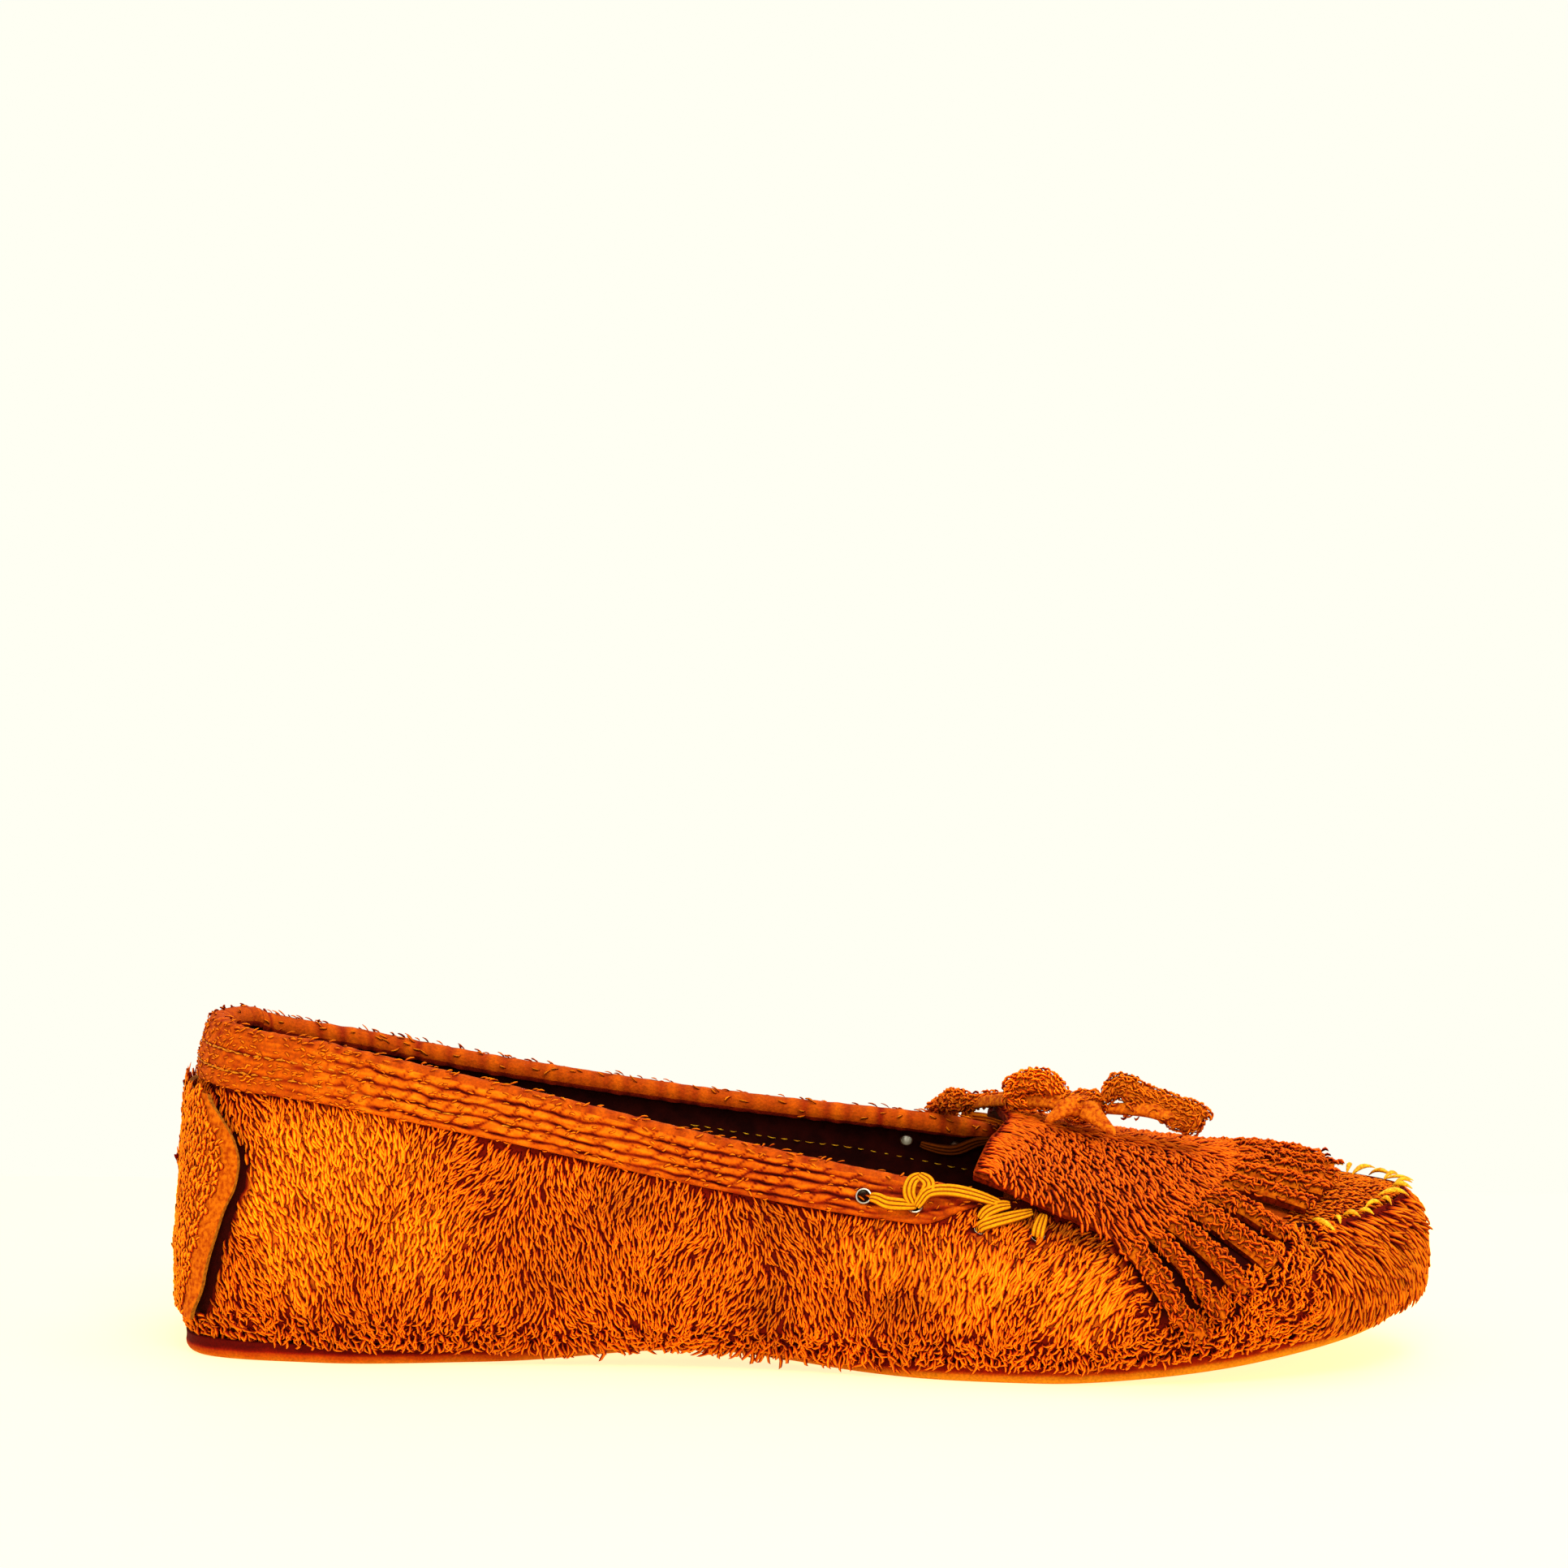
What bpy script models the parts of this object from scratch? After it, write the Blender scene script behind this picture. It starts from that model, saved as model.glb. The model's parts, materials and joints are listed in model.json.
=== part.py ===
"""Left moccasin of napped leather with toe plug, bound collar, heel flap, fringed flap, lace, bow and sole.

The toe points to +X, the outer side of the foot to +Y, up is +Z, and the sole stands on Z = 0.
"Near" is the inner side of the foot, at -Y, and "far" the outer side, at +Y.
"""

import math
from collections import namedtuple

import bmesh
import bpy
import numpy as np

MM = 0.001  # sizes below are in millimetres, the scene is in metres

# Driving sizes of the last
LAST_LENGTH = 246.0  # heel back to toe tip along the widest line
BALL_WIDTH = 86.0
BACK_HEIGHT = 64.0  # top edge of the upper at the heel
INSTEP_CROWN = 6.0  # how far the plug arches above its seam
TOE_SPRING = 9.4
ARCH_RISE = 1.6

# Leather and fit
WALL = 1.8
GAP = 0.3  # between pieces that meet
BELLY_SQUARENESS = 4.0  # power of the rounded corner where the wall turns under the foot
LEAN_POWER = 1.8  # the wall leaves its widest line upright and leans in towards the top edge

# One row for each cross section of the last, heel to toe. along, near and far are shares of the length and
# the ball width at the widest line; tuck is how far the wall turns in below it, belly its height over the
# sole, lean how far the top edge lies inside it, edge the top edge's share of the back height, and sole how
# far the sole lies inside it.
Section = namedtuple(
    "Section",
    "name along near far tuck_near tuck_far belly lean_near lean_far edge_near edge_far sole_near sole_far",
)
SECTIONS = (
    Section("heel_back", -0.003, 0.000, 0.000, 6.0, 6.0, 12.0, 6.6, 6.6, 1.000, 1.000, 1.2, 1.2),
    Section("heel_round", 0.018, 0.245, 0.245, 6.0, 6.0, 12.0, 9.6, 9.6, 0.994, 0.976, -0.4, -0.4),
    Section("heel_side", 0.116, 0.360, 0.360, 6.0, 6.0, 12.0, 8.0, 8.0, 0.963, 0.897, 1.5, 1.8),
    Section("quarter", 0.274, 0.378, 0.384, 10.5, 7.0, 11.0, 6.5, 7.0, 0.841, 0.786, 7.0, 3.0),
    Section("waist", 0.437, 0.395, 0.419, 17.0, 8.0, 10.0, 4.5, 6.0, 0.702, 0.689, 14.0, 4.0),
    Section("throat", 0.620, 0.471, 0.483, 6.5, 6.5, 12.0, 8.5, 9.5, 0.570, 0.612, 2.5, 2.5),
    Section("ball", 0.750, 0.506, 0.488, 7.0, 7.0, 11.0, 10.5, 10.0, 0.508, 0.540, 3.0, 2.5),
    Section("toe_side", 0.872, 0.458, 0.415, 7.0, 7.0, 10.0, 11.5, 8.5, 0.473, 0.508, 3.0, 3.0),
    Section("toe_round", 0.960, 0.306, 0.240, 7.0, 7.0, 8.0, 8.0, 6.0, 0.468, 0.508, 3.5, 3.5),
    Section("toe_tip", 1.000, 0.035, -0.035, 7.0, 7.0, 6.5, 4.0, 4.0, 0.512, 0.512, 4.0, 4.0),
)

# Sole: thickness along the shoe, and the section of its rounded lower edge
SoleRow = namedtuple("SoleRow", "x thickness")
SOLE_ROWS = (
    SoleRow(-123.0, 3.8),
    SoleRow(-62.0, 3.8),
    SoleRow(-20.0, 3.0),
    SoleRow(20.0, 3.7),
    SoleRow(70.0, 3.7),
    SoleRow(123.0, 3.2),
)
ARCH_BACK, ARCH_FRONT = -62.0, 16.0
SPRING_START, SPRING_END, SPRING_POWER = 50.0, 119.3, 1.6
EDGE_ROUND = 1.5  # width of the rounded lower edge
INSOLE_THICKNESS = 2.0
INSOLE_CLEAR, INSOLE_TUCK_SHARE = 3.0, 0.70  # the insole lies inside the turned-in corner of the wall

# Toe plug
PLUG_BACK = 41.0  # its rear edge, under the fringed flap
PLUG_THICKNESS = 1.6
PLUG_SINK = 0.4  # its edge lies below the wall's top edge, which stands up as the seam's ridge
PLUG_REACH = 0.94  # share of the seam that its straight rows follow; the last row bends round the toe

# Bound collar: width on the outside at the heel and the throat, and the share of it that is folded inside
COLLAR_HEEL_WIDTH, COLLAR_THROAT_WIDTH = 11.5, 8.0
COLLAR_THICKNESS = 1.2
COLLAR_PUFF = 0.35
COLLAR_INSIDE = 0.3
COLLAR_SHOULDER = 0.6  # below the top edge, where the fold begins to turn over
FOLD_RISE, FOLD_REACH = 0.8, 0.3  # corners of the fold, as shares of the thickness
COLLAR_END = 33.0  # where it stops on each side of the throat

# Heel flap: half width along the heel's curve, and how far its middle and free edges stand off, by height
FlapRow = namedtuple("FlapRow", "height half_width middle_off edge_off")
FLAP_ROWS = (
    FlapRow(51.0, 21.5, 1.9, 2.3),
    FlapRow(48.0, 27.0, 1.6, 2.1),
    FlapRow(44.0, 31.5, 1.2, 2.0),
    FlapRow(39.5, 33.5, 0.8, 1.9),
    FlapRow(34.0, 33.0, 0.5, 1.9),
    FlapRow(30.0, 31.0, 0.4, 2.0),
    FlapRow(26.0, 30.0, 0.3, 2.2),
    FlapRow(20.0, 28.3, 0.3, 2.5),
    FlapRow(13.0, 26.6, 0.3, 2.5),
    FlapRow(8.0, 23.0, 0.3, 2.0),
)
FLAP_THICKNESS = 1.7
FLAP_CURL_POWER = 2.5  # the edges stand off late, near the ends of each row

# Fringed flap: a fan laid over the instep, its strips cut in from the front edge
FAN_X = 31.0  # the fan's centre on the ridge of the instep
FAN_REAR = 9.0  # rear edge, ahead of the centre
FAN_REAR_SLANT = 0.165  # the rear edge runs back towards each side by this slope
FAN_SIDE, FAN_SIDE_SLANT = 103.0, 3.345  # line of each side edge
FAN_ROOT = 53.0  # radius where the cuts between the strips end
FAN_CORNER = 83.0  # angle of the rear corners
FAN_THICKNESS = 1.6
FAN_REST = 0.8  # how far its lower face lies off the plug and wall
FAN_EDGE_LIFT = {"near": 2.2, "far": 1.5}  # the rear corners and side edges curl up
FAN_REAR_LIFT = 0.9  # so does the whole rear edge, a little
STRIP_WIDTH = 0.9  # share of its root's width that a strip keeps to its tip
# Each strip from the middle to either side: angle of the cut on its outer side, radius of its tip, its lift
Strip = namedtuple("Strip", "cut tip lift")
STRIPS = (
    Strip(7.0, 74.0, 0.5),
    Strip(14.0, 73.0, 0.9),
    Strip(21.5, 72.0, 0.4),
    Strip(29.0, 71.5, 0.9),
    Strip(36.0, 73.5, 0.6),
    Strip(42.0, 73.0, 1.0),
    Strip(46.5, 73.5, 0.6),
    Strip(52.5, 74.0, 1.0),
)

# Eyelets: place along the shoe, depth below the top edge, and what they are pressed through
Eyelet = namedtuple("Eyelet", "near_x far_x depth on_collar")
EYELETS = (
    Eyelet(14.5, 19.0, 4.8, True),
    Eyelet(24.5, 29.0, 5.0, True),
    Eyelet(37.5, 39.5, 7.0, False),
    Eyelet(48.5, 49.5, 7.0, False),
)
EYELET_BORE, EYELET_BARREL, EYELET_FLANGE, EYELET_RIM = 1.3, 1.7, 2.4, 0.55
EYELET_BEVEL = 0.2
CUTTER_IN, CUTTER_OUT = 8.0, 4.0  # how far the holes' cutters pass each face
EYELET_SIDES = 10

# Flat lace: bars of points along the near side, below the top edge and out from the wall
LacePoint = namedtuple("LacePoint", "x depth out")
LACE_WIDTH, LACE_THICKNESS = 3.0, 1.1
ON_COLLAR = GAP + COLLAR_THICKNESS + COLLAR_PUFF + GAP + EYELET_RIM + GAP + LACE_THICKNESS / 2
ON_WALL = GAP + EYELET_RIM + GAP + LACE_THICKNESS / 2
LACE_BARS = {
    "run": (
        (
            LacePoint(14.5, 4.8, ON_COLLAR),
            LacePoint(19.5, 5.6, ON_COLLAR),
            LacePoint(24.5, 5.0, ON_COLLAR),
        ),
        (
            LacePoint(24.3, 5.2, ON_COLLAR + 0.1),
            LacePoint(28.5, 2.6, ON_COLLAR),
            LacePoint(33.5, 1.6, ON_COLLAR - 0.2),
            LacePoint(39.0, 2.2, ON_WALL + 0.4),
        ),
        (
            LacePoint(37.0, 7.6, ON_WALL + 0.1),
            LacePoint(37.2, 5.0, ON_WALL + 0.3),
            LacePoint(37.6, 2.4, ON_WALL + 0.6),
        ),
        (
            LacePoint(37.5, 7.0, ON_WALL),
            LacePoint(42.0, 4.8, ON_WALL - 0.1),
            LacePoint(45.4, 3.5, ON_WALL - 0.1),
        ),
    ),
    "bar": (
        (
            LacePoint(48.5, 7.4, ON_WALL),
            LacePoint(48.8, 5.6, ON_WALL),
            LacePoint(49.4, 3.8, ON_WALL),
        ),
    ),
}

# Bow: a flat suede strap; each path runs through its points, with the strap lying across the given direction
BOW_WIDTH, BOW_THICKNESS = 4.6, 1.9
BowPoint = namedtuple("BowPoint", "x y z across_x across_y across_z")
KNOT_CENTRE, KNOT_SIZE, KNOT_ROUND = (55.5, -1.0, 48.2), (9.0, 9.0, 5.6), 2.2
BOW_PATHS = {
    "bow_loop_rear": (
        BowPoint(50.2, 0.5, 49.8, 0.3, 1.0, 0.0),
        BowPoint(48.0, 2.0, 52.4, 0.3, 1.0, 0.2),
        BowPoint(44.4, 4.2, 53.0, 0.4, 1.0, 0.3),
        BowPoint(41.2, 6.6, 51.2, 0.5, 1.0, 0.3),
        BowPoint(42.0, 6.4, 49.4, 0.5, 1.0, 0.2),
        BowPoint(45.8, 4.6, 48.4, 0.4, 1.0, 0.0),
        BowPoint(50.3, 2.0, 47.6, 0.3, 1.0, 0.0),
    ),
    "bow_loop_front": (
        BowPoint(60.6, -1.0, 49.8, 0.2, 1.0, 0.0),
        BowPoint(63.0, -1.6, 53.0, 0.2, 1.0, 0.1),
        BowPoint(68.0, -3.0, 51.8, 0.2, 1.0, 0.1),
        BowPoint(75.0, -4.8, 49.4, 0.2, 1.0, 0.1),
        BowPoint(79.0, -6.0, 47.0, 0.2, 1.0, 0.0),
        BowPoint(76.6, -6.4, 45.2, 0.2, 1.0, 0.0),
        BowPoint(70.0, -5.4, 45.6, 0.2, 1.0, 0.0),
        BowPoint(60.6, -2.6, 47.2, 0.2, 1.0, 0.0),
    ),
    "bow_end_far": (
        BowPoint(55.0, 5.0, 46.8, 1.0, 0.3, 0.0),
        BowPoint(49.0, 11.0, 46.0, 0.8, 0.8, 0.0),
        BowPoint(39.0, 18.5, 46.8, 0.6, 0.8, 0.0),
        BowPoint(30.0, 25.5, 45.2, 0.7, 0.7, 0.0),
        BowPoint(25.0, 32.5, 43.7, 0.9, 0.4, 0.0),
        BowPoint(23.0, 38.4, 41.0, 1.0, 0.2, 0.0),
    ),
    "bow_end_near": (
        BowPoint(52.6, -6.4, 47.4, 1.0, 0.4, 0.0),
        BowPoint(50.6, -10.5, 46.4, 0.9, 0.9, 0.0),
        BowPoint(54.0, -14.6, 45.4, 0.3, 1.0, 0.0),
        BowPoint(60.0, -16.4, 44.5, 0.2, 1.0, -0.1),
        BowPoint(65.0, -17.6, 43.6, 0.2, 1.0, -0.1),
    ),
}

# Rounded section of lace and strap, as shares of half the thickness and half the width
STRAP_EDGE, STRAP_FLAT = 0.45, 0.7

# Fineness of the meshes
AROUND = 76
END_CROWDING = 0.09  # points round the shoe stand closer together at heel and toe
SAMPLES = 200
TURN_STEPS, SIDE_STEPS = 4, 5
SOLE_AROUND = 76
PLUG_STEPS, PLUG_ACROSS = 11, 8
FLAP_ACROSS = 14
FAN_ROWS, FAN_SIDE_COLUMNS, STRIP_ROWS = 5, 4, 5
LACE_STEPS, BOW_STEPS = 7, 12
SMOOTH_ANGLE = math.radians(40)

Finish = namedtuple("Finish", "colour roughness metallic")
FINISHES = {
    "suede": Finish("C4661A", 0.95, 0.0),
    "suede_flap": Finish("B5561A", 0.95, 0.0),
    "suede_band": Finish("BC5F1A", 0.9, 0.0),
    "suede_strap": Finish("B0521A", 0.95, 0.0),
    "rubber": Finish("A8602A", 0.6, 0.0),
    "insole_leather": Finish("4A2C1A", 0.8, 0.0),
    "eyelet_metal": Finish("C9C3B6", 0.35, 1.0),
    "flat_lace": Finish("DCA42C", 0.55, 0.0),
}


def clear_scene():
    for old in list(bpy.data.objects):
        bpy.data.objects.remove(old, do_unlink=True)


def linear(hex_colour):
    """Linear red, green, blue and alpha of an sRGB hex colour."""
    parts = [int(hex_colour[i : i + 2], 16) / 255 for i in (0, 2, 4)]
    return [c / 12.92 if c <= 0.04045 else ((c + 0.055) / 1.055) ** 2.4 for c in parts] + [1.0]


def make_material(name):
    finish = FINISHES[name]
    material = bpy.data.materials.new(name)
    material.use_nodes = True
    shader = material.node_tree.nodes["Principled BSDF"]
    shader.inputs["Base Color"].default_value = linear(finish.colour)
    shader.inputs["Roughness"].default_value = finish.roughness
    shader.inputs["Metallic"].default_value = finish.metallic
    return material


def add_object(name, points, faces, material):
    """A mesh object from points in millimetres."""
    mesh = bpy.data.meshes.new(name)
    mesh.from_pydata((np.asarray(points) * MM).tolist(), [], faces)
    mesh.materials.append(material)
    mesh.shade_smooth()
    mesh.set_sharp_from_angle(angle=SMOOTH_ANGLE)
    made = bpy.data.objects.new(name, mesh)
    bpy.context.scene.collection.objects.link(made)
    return made


def unit(vectors):
    return vectors / np.linalg.norm(vectors, axis=-1, keepdims=True)


def grid_faces(rows, columns, closed=False):
    """Quads of a grid of points numbered row by row; a closed grid joins its last column to its first."""
    faces = []
    for i in range(rows - 1):
        for j in range(columns if closed else columns - 1):
            k = (j + 1) % columns
            faces.append((i * columns + j, i * columns + k, (i + 1) * columns + k, (i + 1) * columns + j))
    return faces


def sheet_object(name, outer, inner, faces, material):
    """A closed sheet between two layers of points that share the given faces."""
    count = len(outer)
    edges = {(face[k], face[(k + 1) % len(face)]) for face in faces for k in range(len(face))}
    rim = [(b, a, a + count, b + count) for a, b in sorted(edges) if (b, a) not in edges]
    back = [tuple(i + count for i in reversed(face)) for face in faces]
    return add_object(name, np.concatenate([outer, inner]), list(faces) + back + rim, material)


# The last: one closed curve of section values, from the heel back along the near side to the toe and home
def station_loop():
    def row(section, side):
        sign = -1 if side == "near" else 1
        pick = {name: getattr(section, f"{name}_{side}") for name in ("tuck", "lean", "edge", "sole")}
        return (
            (section.along - 0.5) * LAST_LENGTH,
            sign * getattr(section, side) * BALL_WIDTH,
            pick["tuck"],
            section.belly,
            pick["lean"],
            pick["edge"] * BACK_HEIGHT,
            pick["sole"],
        )

    near = [row(section, "near") for section in SECTIONS]
    far = [row(section, "far") for section in reversed(SECTIONS[1:-1])]
    return np.array(near + far)


STATIONS = station_loop()
CHORDS = np.linalg.norm(np.roll(STATIONS, -1, axis=0)[:, :2] - STATIONS[:, :2], axis=1)
GIRTH = CHORDS.sum()
KNOTS = np.concatenate([[0.0], np.cumsum(CHORDS)]) / GIRTH
TOE = KNOTS[len(SECTIONS) - 1]
SECANTS = (np.roll(STATIONS, -1, axis=0) - STATIONS) / (CHORDS / GIRTH)[:, None]
BEFORE = np.roll(CHORDS, 1)[:, None]
SLOPES = (np.roll(SECANTS, 1, axis=0) * CHORDS[:, None] + SECANTS * BEFORE) / (CHORDS[:, None] + BEFORE)


def section_values(at):
    """Section values at shares of the way round the last, on a smooth closed curve through the sections."""
    at = np.mod(np.asarray(at, float), 1.0)
    i = np.clip(np.searchsorted(KNOTS, at, side="right") - 1, 0, len(STATIONS) - 1)
    k = (i + 1) % len(STATIONS)
    span = KNOTS[i + 1] - KNOTS[i]
    t = ((at - KNOTS[i]) / span)[..., None]
    span = span[..., None]
    ends = (1 + 2 * t) * (1 - t) ** 2 * STATIONS[i] + t**2 * (3 - 2 * t) * STATIONS[k]
    return ends + t * (1 - t) ** 2 * span * SLOPES[i] - t**2 * (1 - t) * span * SLOPES[k]


def inward(at):
    """Unit plan direction from the widest line into the shoe."""
    step = 1e-4
    along = section_values(np.asarray(at) + step) - section_values(np.asarray(at) - step)
    return unit(np.stack([-along[..., 1], along[..., 0]], axis=-1))


def inset_line(at, inset):
    """Plan points that lie inside the widest line."""
    return section_values(at)[..., :2] + inward(at) * np.asarray(inset)[..., None]


def sole_bottom(x):
    arch = np.clip((x - ARCH_BACK) / (ARCH_FRONT - ARCH_BACK), 0, 1)
    toe = np.clip((x - SPRING_START) / (SPRING_END - SPRING_START), 0, None)
    return ARCH_RISE * np.sin(math.pi * arch) ** 2 + TOE_SPRING * toe**SPRING_POWER


def sole_top(x):
    return sole_bottom(x) + np.interp(x, [row.x for row in SOLE_ROWS], [row.thickness for row in SOLE_ROWS])


def wall_surface(at, s):
    """Outer face of the wall; s is 0 at the turned-in margin, 1 at the widest line and 2 at the top edge."""
    at, s = np.broadcast_arrays(np.asarray(at, float), np.asarray(s, float))
    values = section_values(at)
    tuck, belly, lean, edge = (values[..., k] for k in (2, 3, 4, 5))
    turn = np.clip(s, 0, 1) * math.pi / 2
    side = np.clip(s - 1, 0, 1)
    power = 2 / BELLY_SQUARENESS
    under = inset_line(at, tuck * (1 - np.sin(turn) ** power))
    rise = sole_top(under[..., 0]) + GAP + belly * (1 - np.maximum(np.cos(turn), 0) ** power)
    height = rise + (edge - rise) * side
    plan = under + inward(at) * (lean * side**LEAN_POWER)[..., None]
    return np.concatenate([plan, height[..., None]], axis=-1)


def wall_normal(at, s):
    at, s = np.asarray(at), np.asarray(s)
    step_at, step_s = 1e-3, 1e-2
    along = wall_surface(at + step_at, s) - wall_surface(at - step_at, s)
    up = wall_surface(at, np.clip(s + step_s, 0, 2)) - wall_surface(at, np.clip(s - step_s, 0, 2))
    return unit(np.cross(along, up))


def wall(at, s, out=0.0):
    """Points off the outer face of the wall, along its normal."""
    return wall_surface(at, s) + wall_normal(at, s) * np.asarray(out)[..., None]


def below_edge(at, depth, out):
    """The point so far below the top edge, measured down the wall, and so far out from it."""
    s = np.linspace(2, 0, SAMPLES)
    line = wall_surface(at, s)
    down = np.concatenate([[0], np.cumsum(np.linalg.norm(np.diff(line, axis=0), axis=1))])
    point = wall(at, np.interp(depth, down, s), np.array(out))
    if depth < 0:
        point = point + unit(line[0] - line[1]) * -depth
    return point


def edge_share(x, side):
    """Share of the way round where the top edge passes x on one side."""
    shares = np.linspace(0 if side == "near" else 1, TOE, 4 * SAMPLES)
    return float(np.interp(x, wall_surface(shares, 2)[:, 0], shares))


def ring_solid(name, rings, material):
    """A solid of closed rings of points, bottom to top; strips from side to side close both ends."""
    count = len(rings[0])
    faces = grid_faces(len(rings), count, closed=True)

    def cap(start):
        half, end = count // 2, start + count
        ladder = [(start, start + 1, end - 1)]
        ladder += [(start + i, start + i + 1, end - i - 1, end - i) for i in range(1, half - 1)]
        return ladder + [(start + half - 1, start + half, start + half + 1)]

    bottom = [tuple(reversed(face)) for face in cap(0)]
    top = cap((len(rings) - 1) * count)
    return add_object(name, np.concatenate(rings), faces + bottom + top, material)


def matched_shares(count):
    """Shares round the last, the same number on each side, closer together at heel and toe."""
    half = count // 2
    t = np.arange(half) / half
    eased = t - END_CROWDING * np.sin(2 * math.pi * t)
    return np.concatenate([eased * TOE, TOE + eased * (1 - TOE)])


def build_outsole(material):
    shares = matched_shares(SOLE_AROUND)
    sole = section_values(shares)[:, 6]
    section = ((EDGE_ROUND, 0.0), (EDGE_ROUND * 0.3, EDGE_ROUND * 0.3), (0.0, EDGE_ROUND))
    rings = []
    for inset, height in section:
        line = inset_line(shares, sole + inset)
        rings.append(np.column_stack([line, sole_bottom(line[:, 0]) + height]))
    line = inset_line(shares, sole)
    rings.append(np.column_stack([line, sole_top(line[:, 0])]))
    return ring_solid("outsole", rings, material)


def build_insole(material):
    shares = matched_shares(SOLE_AROUND)
    line = inset_line(shares, section_values(shares)[:, 2] * INSOLE_TUCK_SHARE + INSOLE_CLEAR)
    under = sole_top(line[:, 0]) + GAP + WALL + GAP
    rings = [np.column_stack([line, under]), np.column_stack([line, under + INSOLE_THICKNESS])]
    return ring_solid("insole", rings, material)


def build_upper(material):
    shares = matched_shares(AROUND)
    steps = np.concatenate([np.linspace(0, 1, TURN_STEPS + 1), 1 + np.linspace(0, 1, SIDE_STEPS + 1)[1:]])
    outer = np.concatenate([wall(shares, s) for s in steps])
    inner = np.concatenate([wall(shares, s, -WALL) for s in steps])
    return sheet_object("upper", outer, inner, grid_faces(len(steps), AROUND, closed=True), material)


def crown(x, across):
    """Height of the plug's arch over the line between its two seams; across runs from 0 to 1."""
    t = np.clip((x - PLUG_BACK) / (wall_surface(TOE, 2)[0] - PLUG_BACK), 0, 1)
    return INSTEP_CROWN * (1 - t**3) * (1 - (2 * across - 1) ** 2)


def plug_edge(at):
    """The plug's own edge, just inside the wall's top edge."""
    edge = wall(at, 2, -WALL)
    edge[..., :2] += inward(at) * GAP
    edge[..., 2] = wall_surface(at, 2)[..., 2] - PLUG_SINK
    return edge


def build_plug(material):
    near, far = edge_share(PLUG_BACK, "near"), edge_share(PLUG_BACK, "far")
    across = np.linspace(0, 1, PLUG_ACROSS + 1)
    rows = []
    for step in np.linspace(0, PLUG_REACH, PLUG_STEPS):
        ends = plug_edge(np.array([near + (TOE - near) * step, far + (TOE - far) * step]))
        line = ends[0] + (ends[1] - ends[0]) * across[:, None]
        line[:, 2] += crown(line[:, 0], across)
        rows.append(line)
    start, rest = near + (TOE - near) * PLUG_REACH, (far - near) * (1 - PLUG_REACH)
    rows.append(plug_edge(start + rest * across))
    top = np.concatenate(rows)
    faces = [tuple(reversed(face)) for face in grid_faces(len(rows), len(across))]
    return sheet_object("plug", top, top - np.array([0, 0, PLUG_THICKNESS]), faces, material)


def collar_width(x):
    t = np.clip((x + LAST_LENGTH / 2) / (COLLAR_END + LAST_LENGTH / 2), 0, 1)
    return COLLAR_HEEL_WIDTH + (COLLAR_THROAT_WIDTH - COLLAR_HEEL_WIDTH) * t


def build_collar(material):
    """A band folded over the top edge, swept from the far throat round the heel to the near throat."""
    near, far = edge_share(COLLAR_END, "near"), edge_share(COLLAR_END, "far")
    outside = GAP + COLLAR_THICKNESS
    inside = -WALL - GAP
    shares = matched_shares(AROUND)
    shares = np.where(shares > TOE, shares - 1, shares)
    rows = []
    for at in np.sort(shares[(shares > far - 1) & (shares < near)]):
        width = collar_width(wall_surface(at, 2)[0])
        fold = width * COLLAR_INSIDE
        section = (
            (width, GAP),
            (width, outside),
            (width / 2, outside + COLLAR_PUFF),
            (COLLAR_SHOULDER, outside),
            (-GAP - COLLAR_THICKNESS * FOLD_RISE, GAP + COLLAR_THICKNESS * FOLD_REACH),
            (-GAP - COLLAR_THICKNESS, -WALL / 2),
            (-GAP - COLLAR_THICKNESS * FOLD_RISE, inside - COLLAR_THICKNESS * FOLD_REACH),
            (COLLAR_SHOULDER, inside - COLLAR_THICKNESS),
            (fold, inside - COLLAR_THICKNESS),
            (fold, inside),
            (-GAP, inside),
            (-GAP, GAP),
            (width / 2, GAP),
        )
        rows.append(np.array([below_edge(at, depth, out) for depth, out in section]))
    columns = len(rows[0])
    faces = grid_faces(len(rows), columns, closed=True)
    last = (len(rows) - 1) * columns
    faces += [tuple(reversed(range(columns))), tuple(last + j for j in range(columns))]
    return add_object("collar_band", np.concatenate(rows), faces, material)


def height_to_s(at, height):
    s = np.linspace(0, 2, SAMPLES)
    return float(np.interp(height, wall_surface(at, s)[:, 2], s))


def build_heel_flap(material):
    """A tab laid round the heel, fixed down its middle, with wavy edges that stand off."""
    across = np.linspace(-1, 1, FLAP_ACROSS + 1)
    outer, inner = [], []
    for row in FLAP_ROWS:
        shares = across * row.half_width / GIRTH
        s = np.array([height_to_s(at, row.height) for at in shares])
        off = row.middle_off + (row.edge_off - row.middle_off) * np.abs(across) ** FLAP_CURL_POWER
        inner.append(wall(shares, s, off))
        outer.append(wall(shares, s, off + FLAP_THICKNESS))
    faces = [tuple(reversed(face)) for face in grid_faces(len(FLAP_ROWS), len(across))]
    return sheet_object("heel_flap", np.concatenate(outer), np.concatenate(inner), faces, material)


# The instep under the fringed flap: cross sections over both walls and the plug, measured from the ridge
SECTION_S = np.linspace(0.04, 2, 20)
SECTION_AT = {"near": np.linspace(0, TOE, SAMPLES), "far": np.linspace(1, TOE, SAMPLES)}
SECTION_WALL = {side: [wall_surface(at, s) for s in SECTION_S] for side, at in SECTION_AT.items()}
SMOOTHING = 7  # samples, one millimetre apart, over which the seam's corner is rounded


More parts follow.
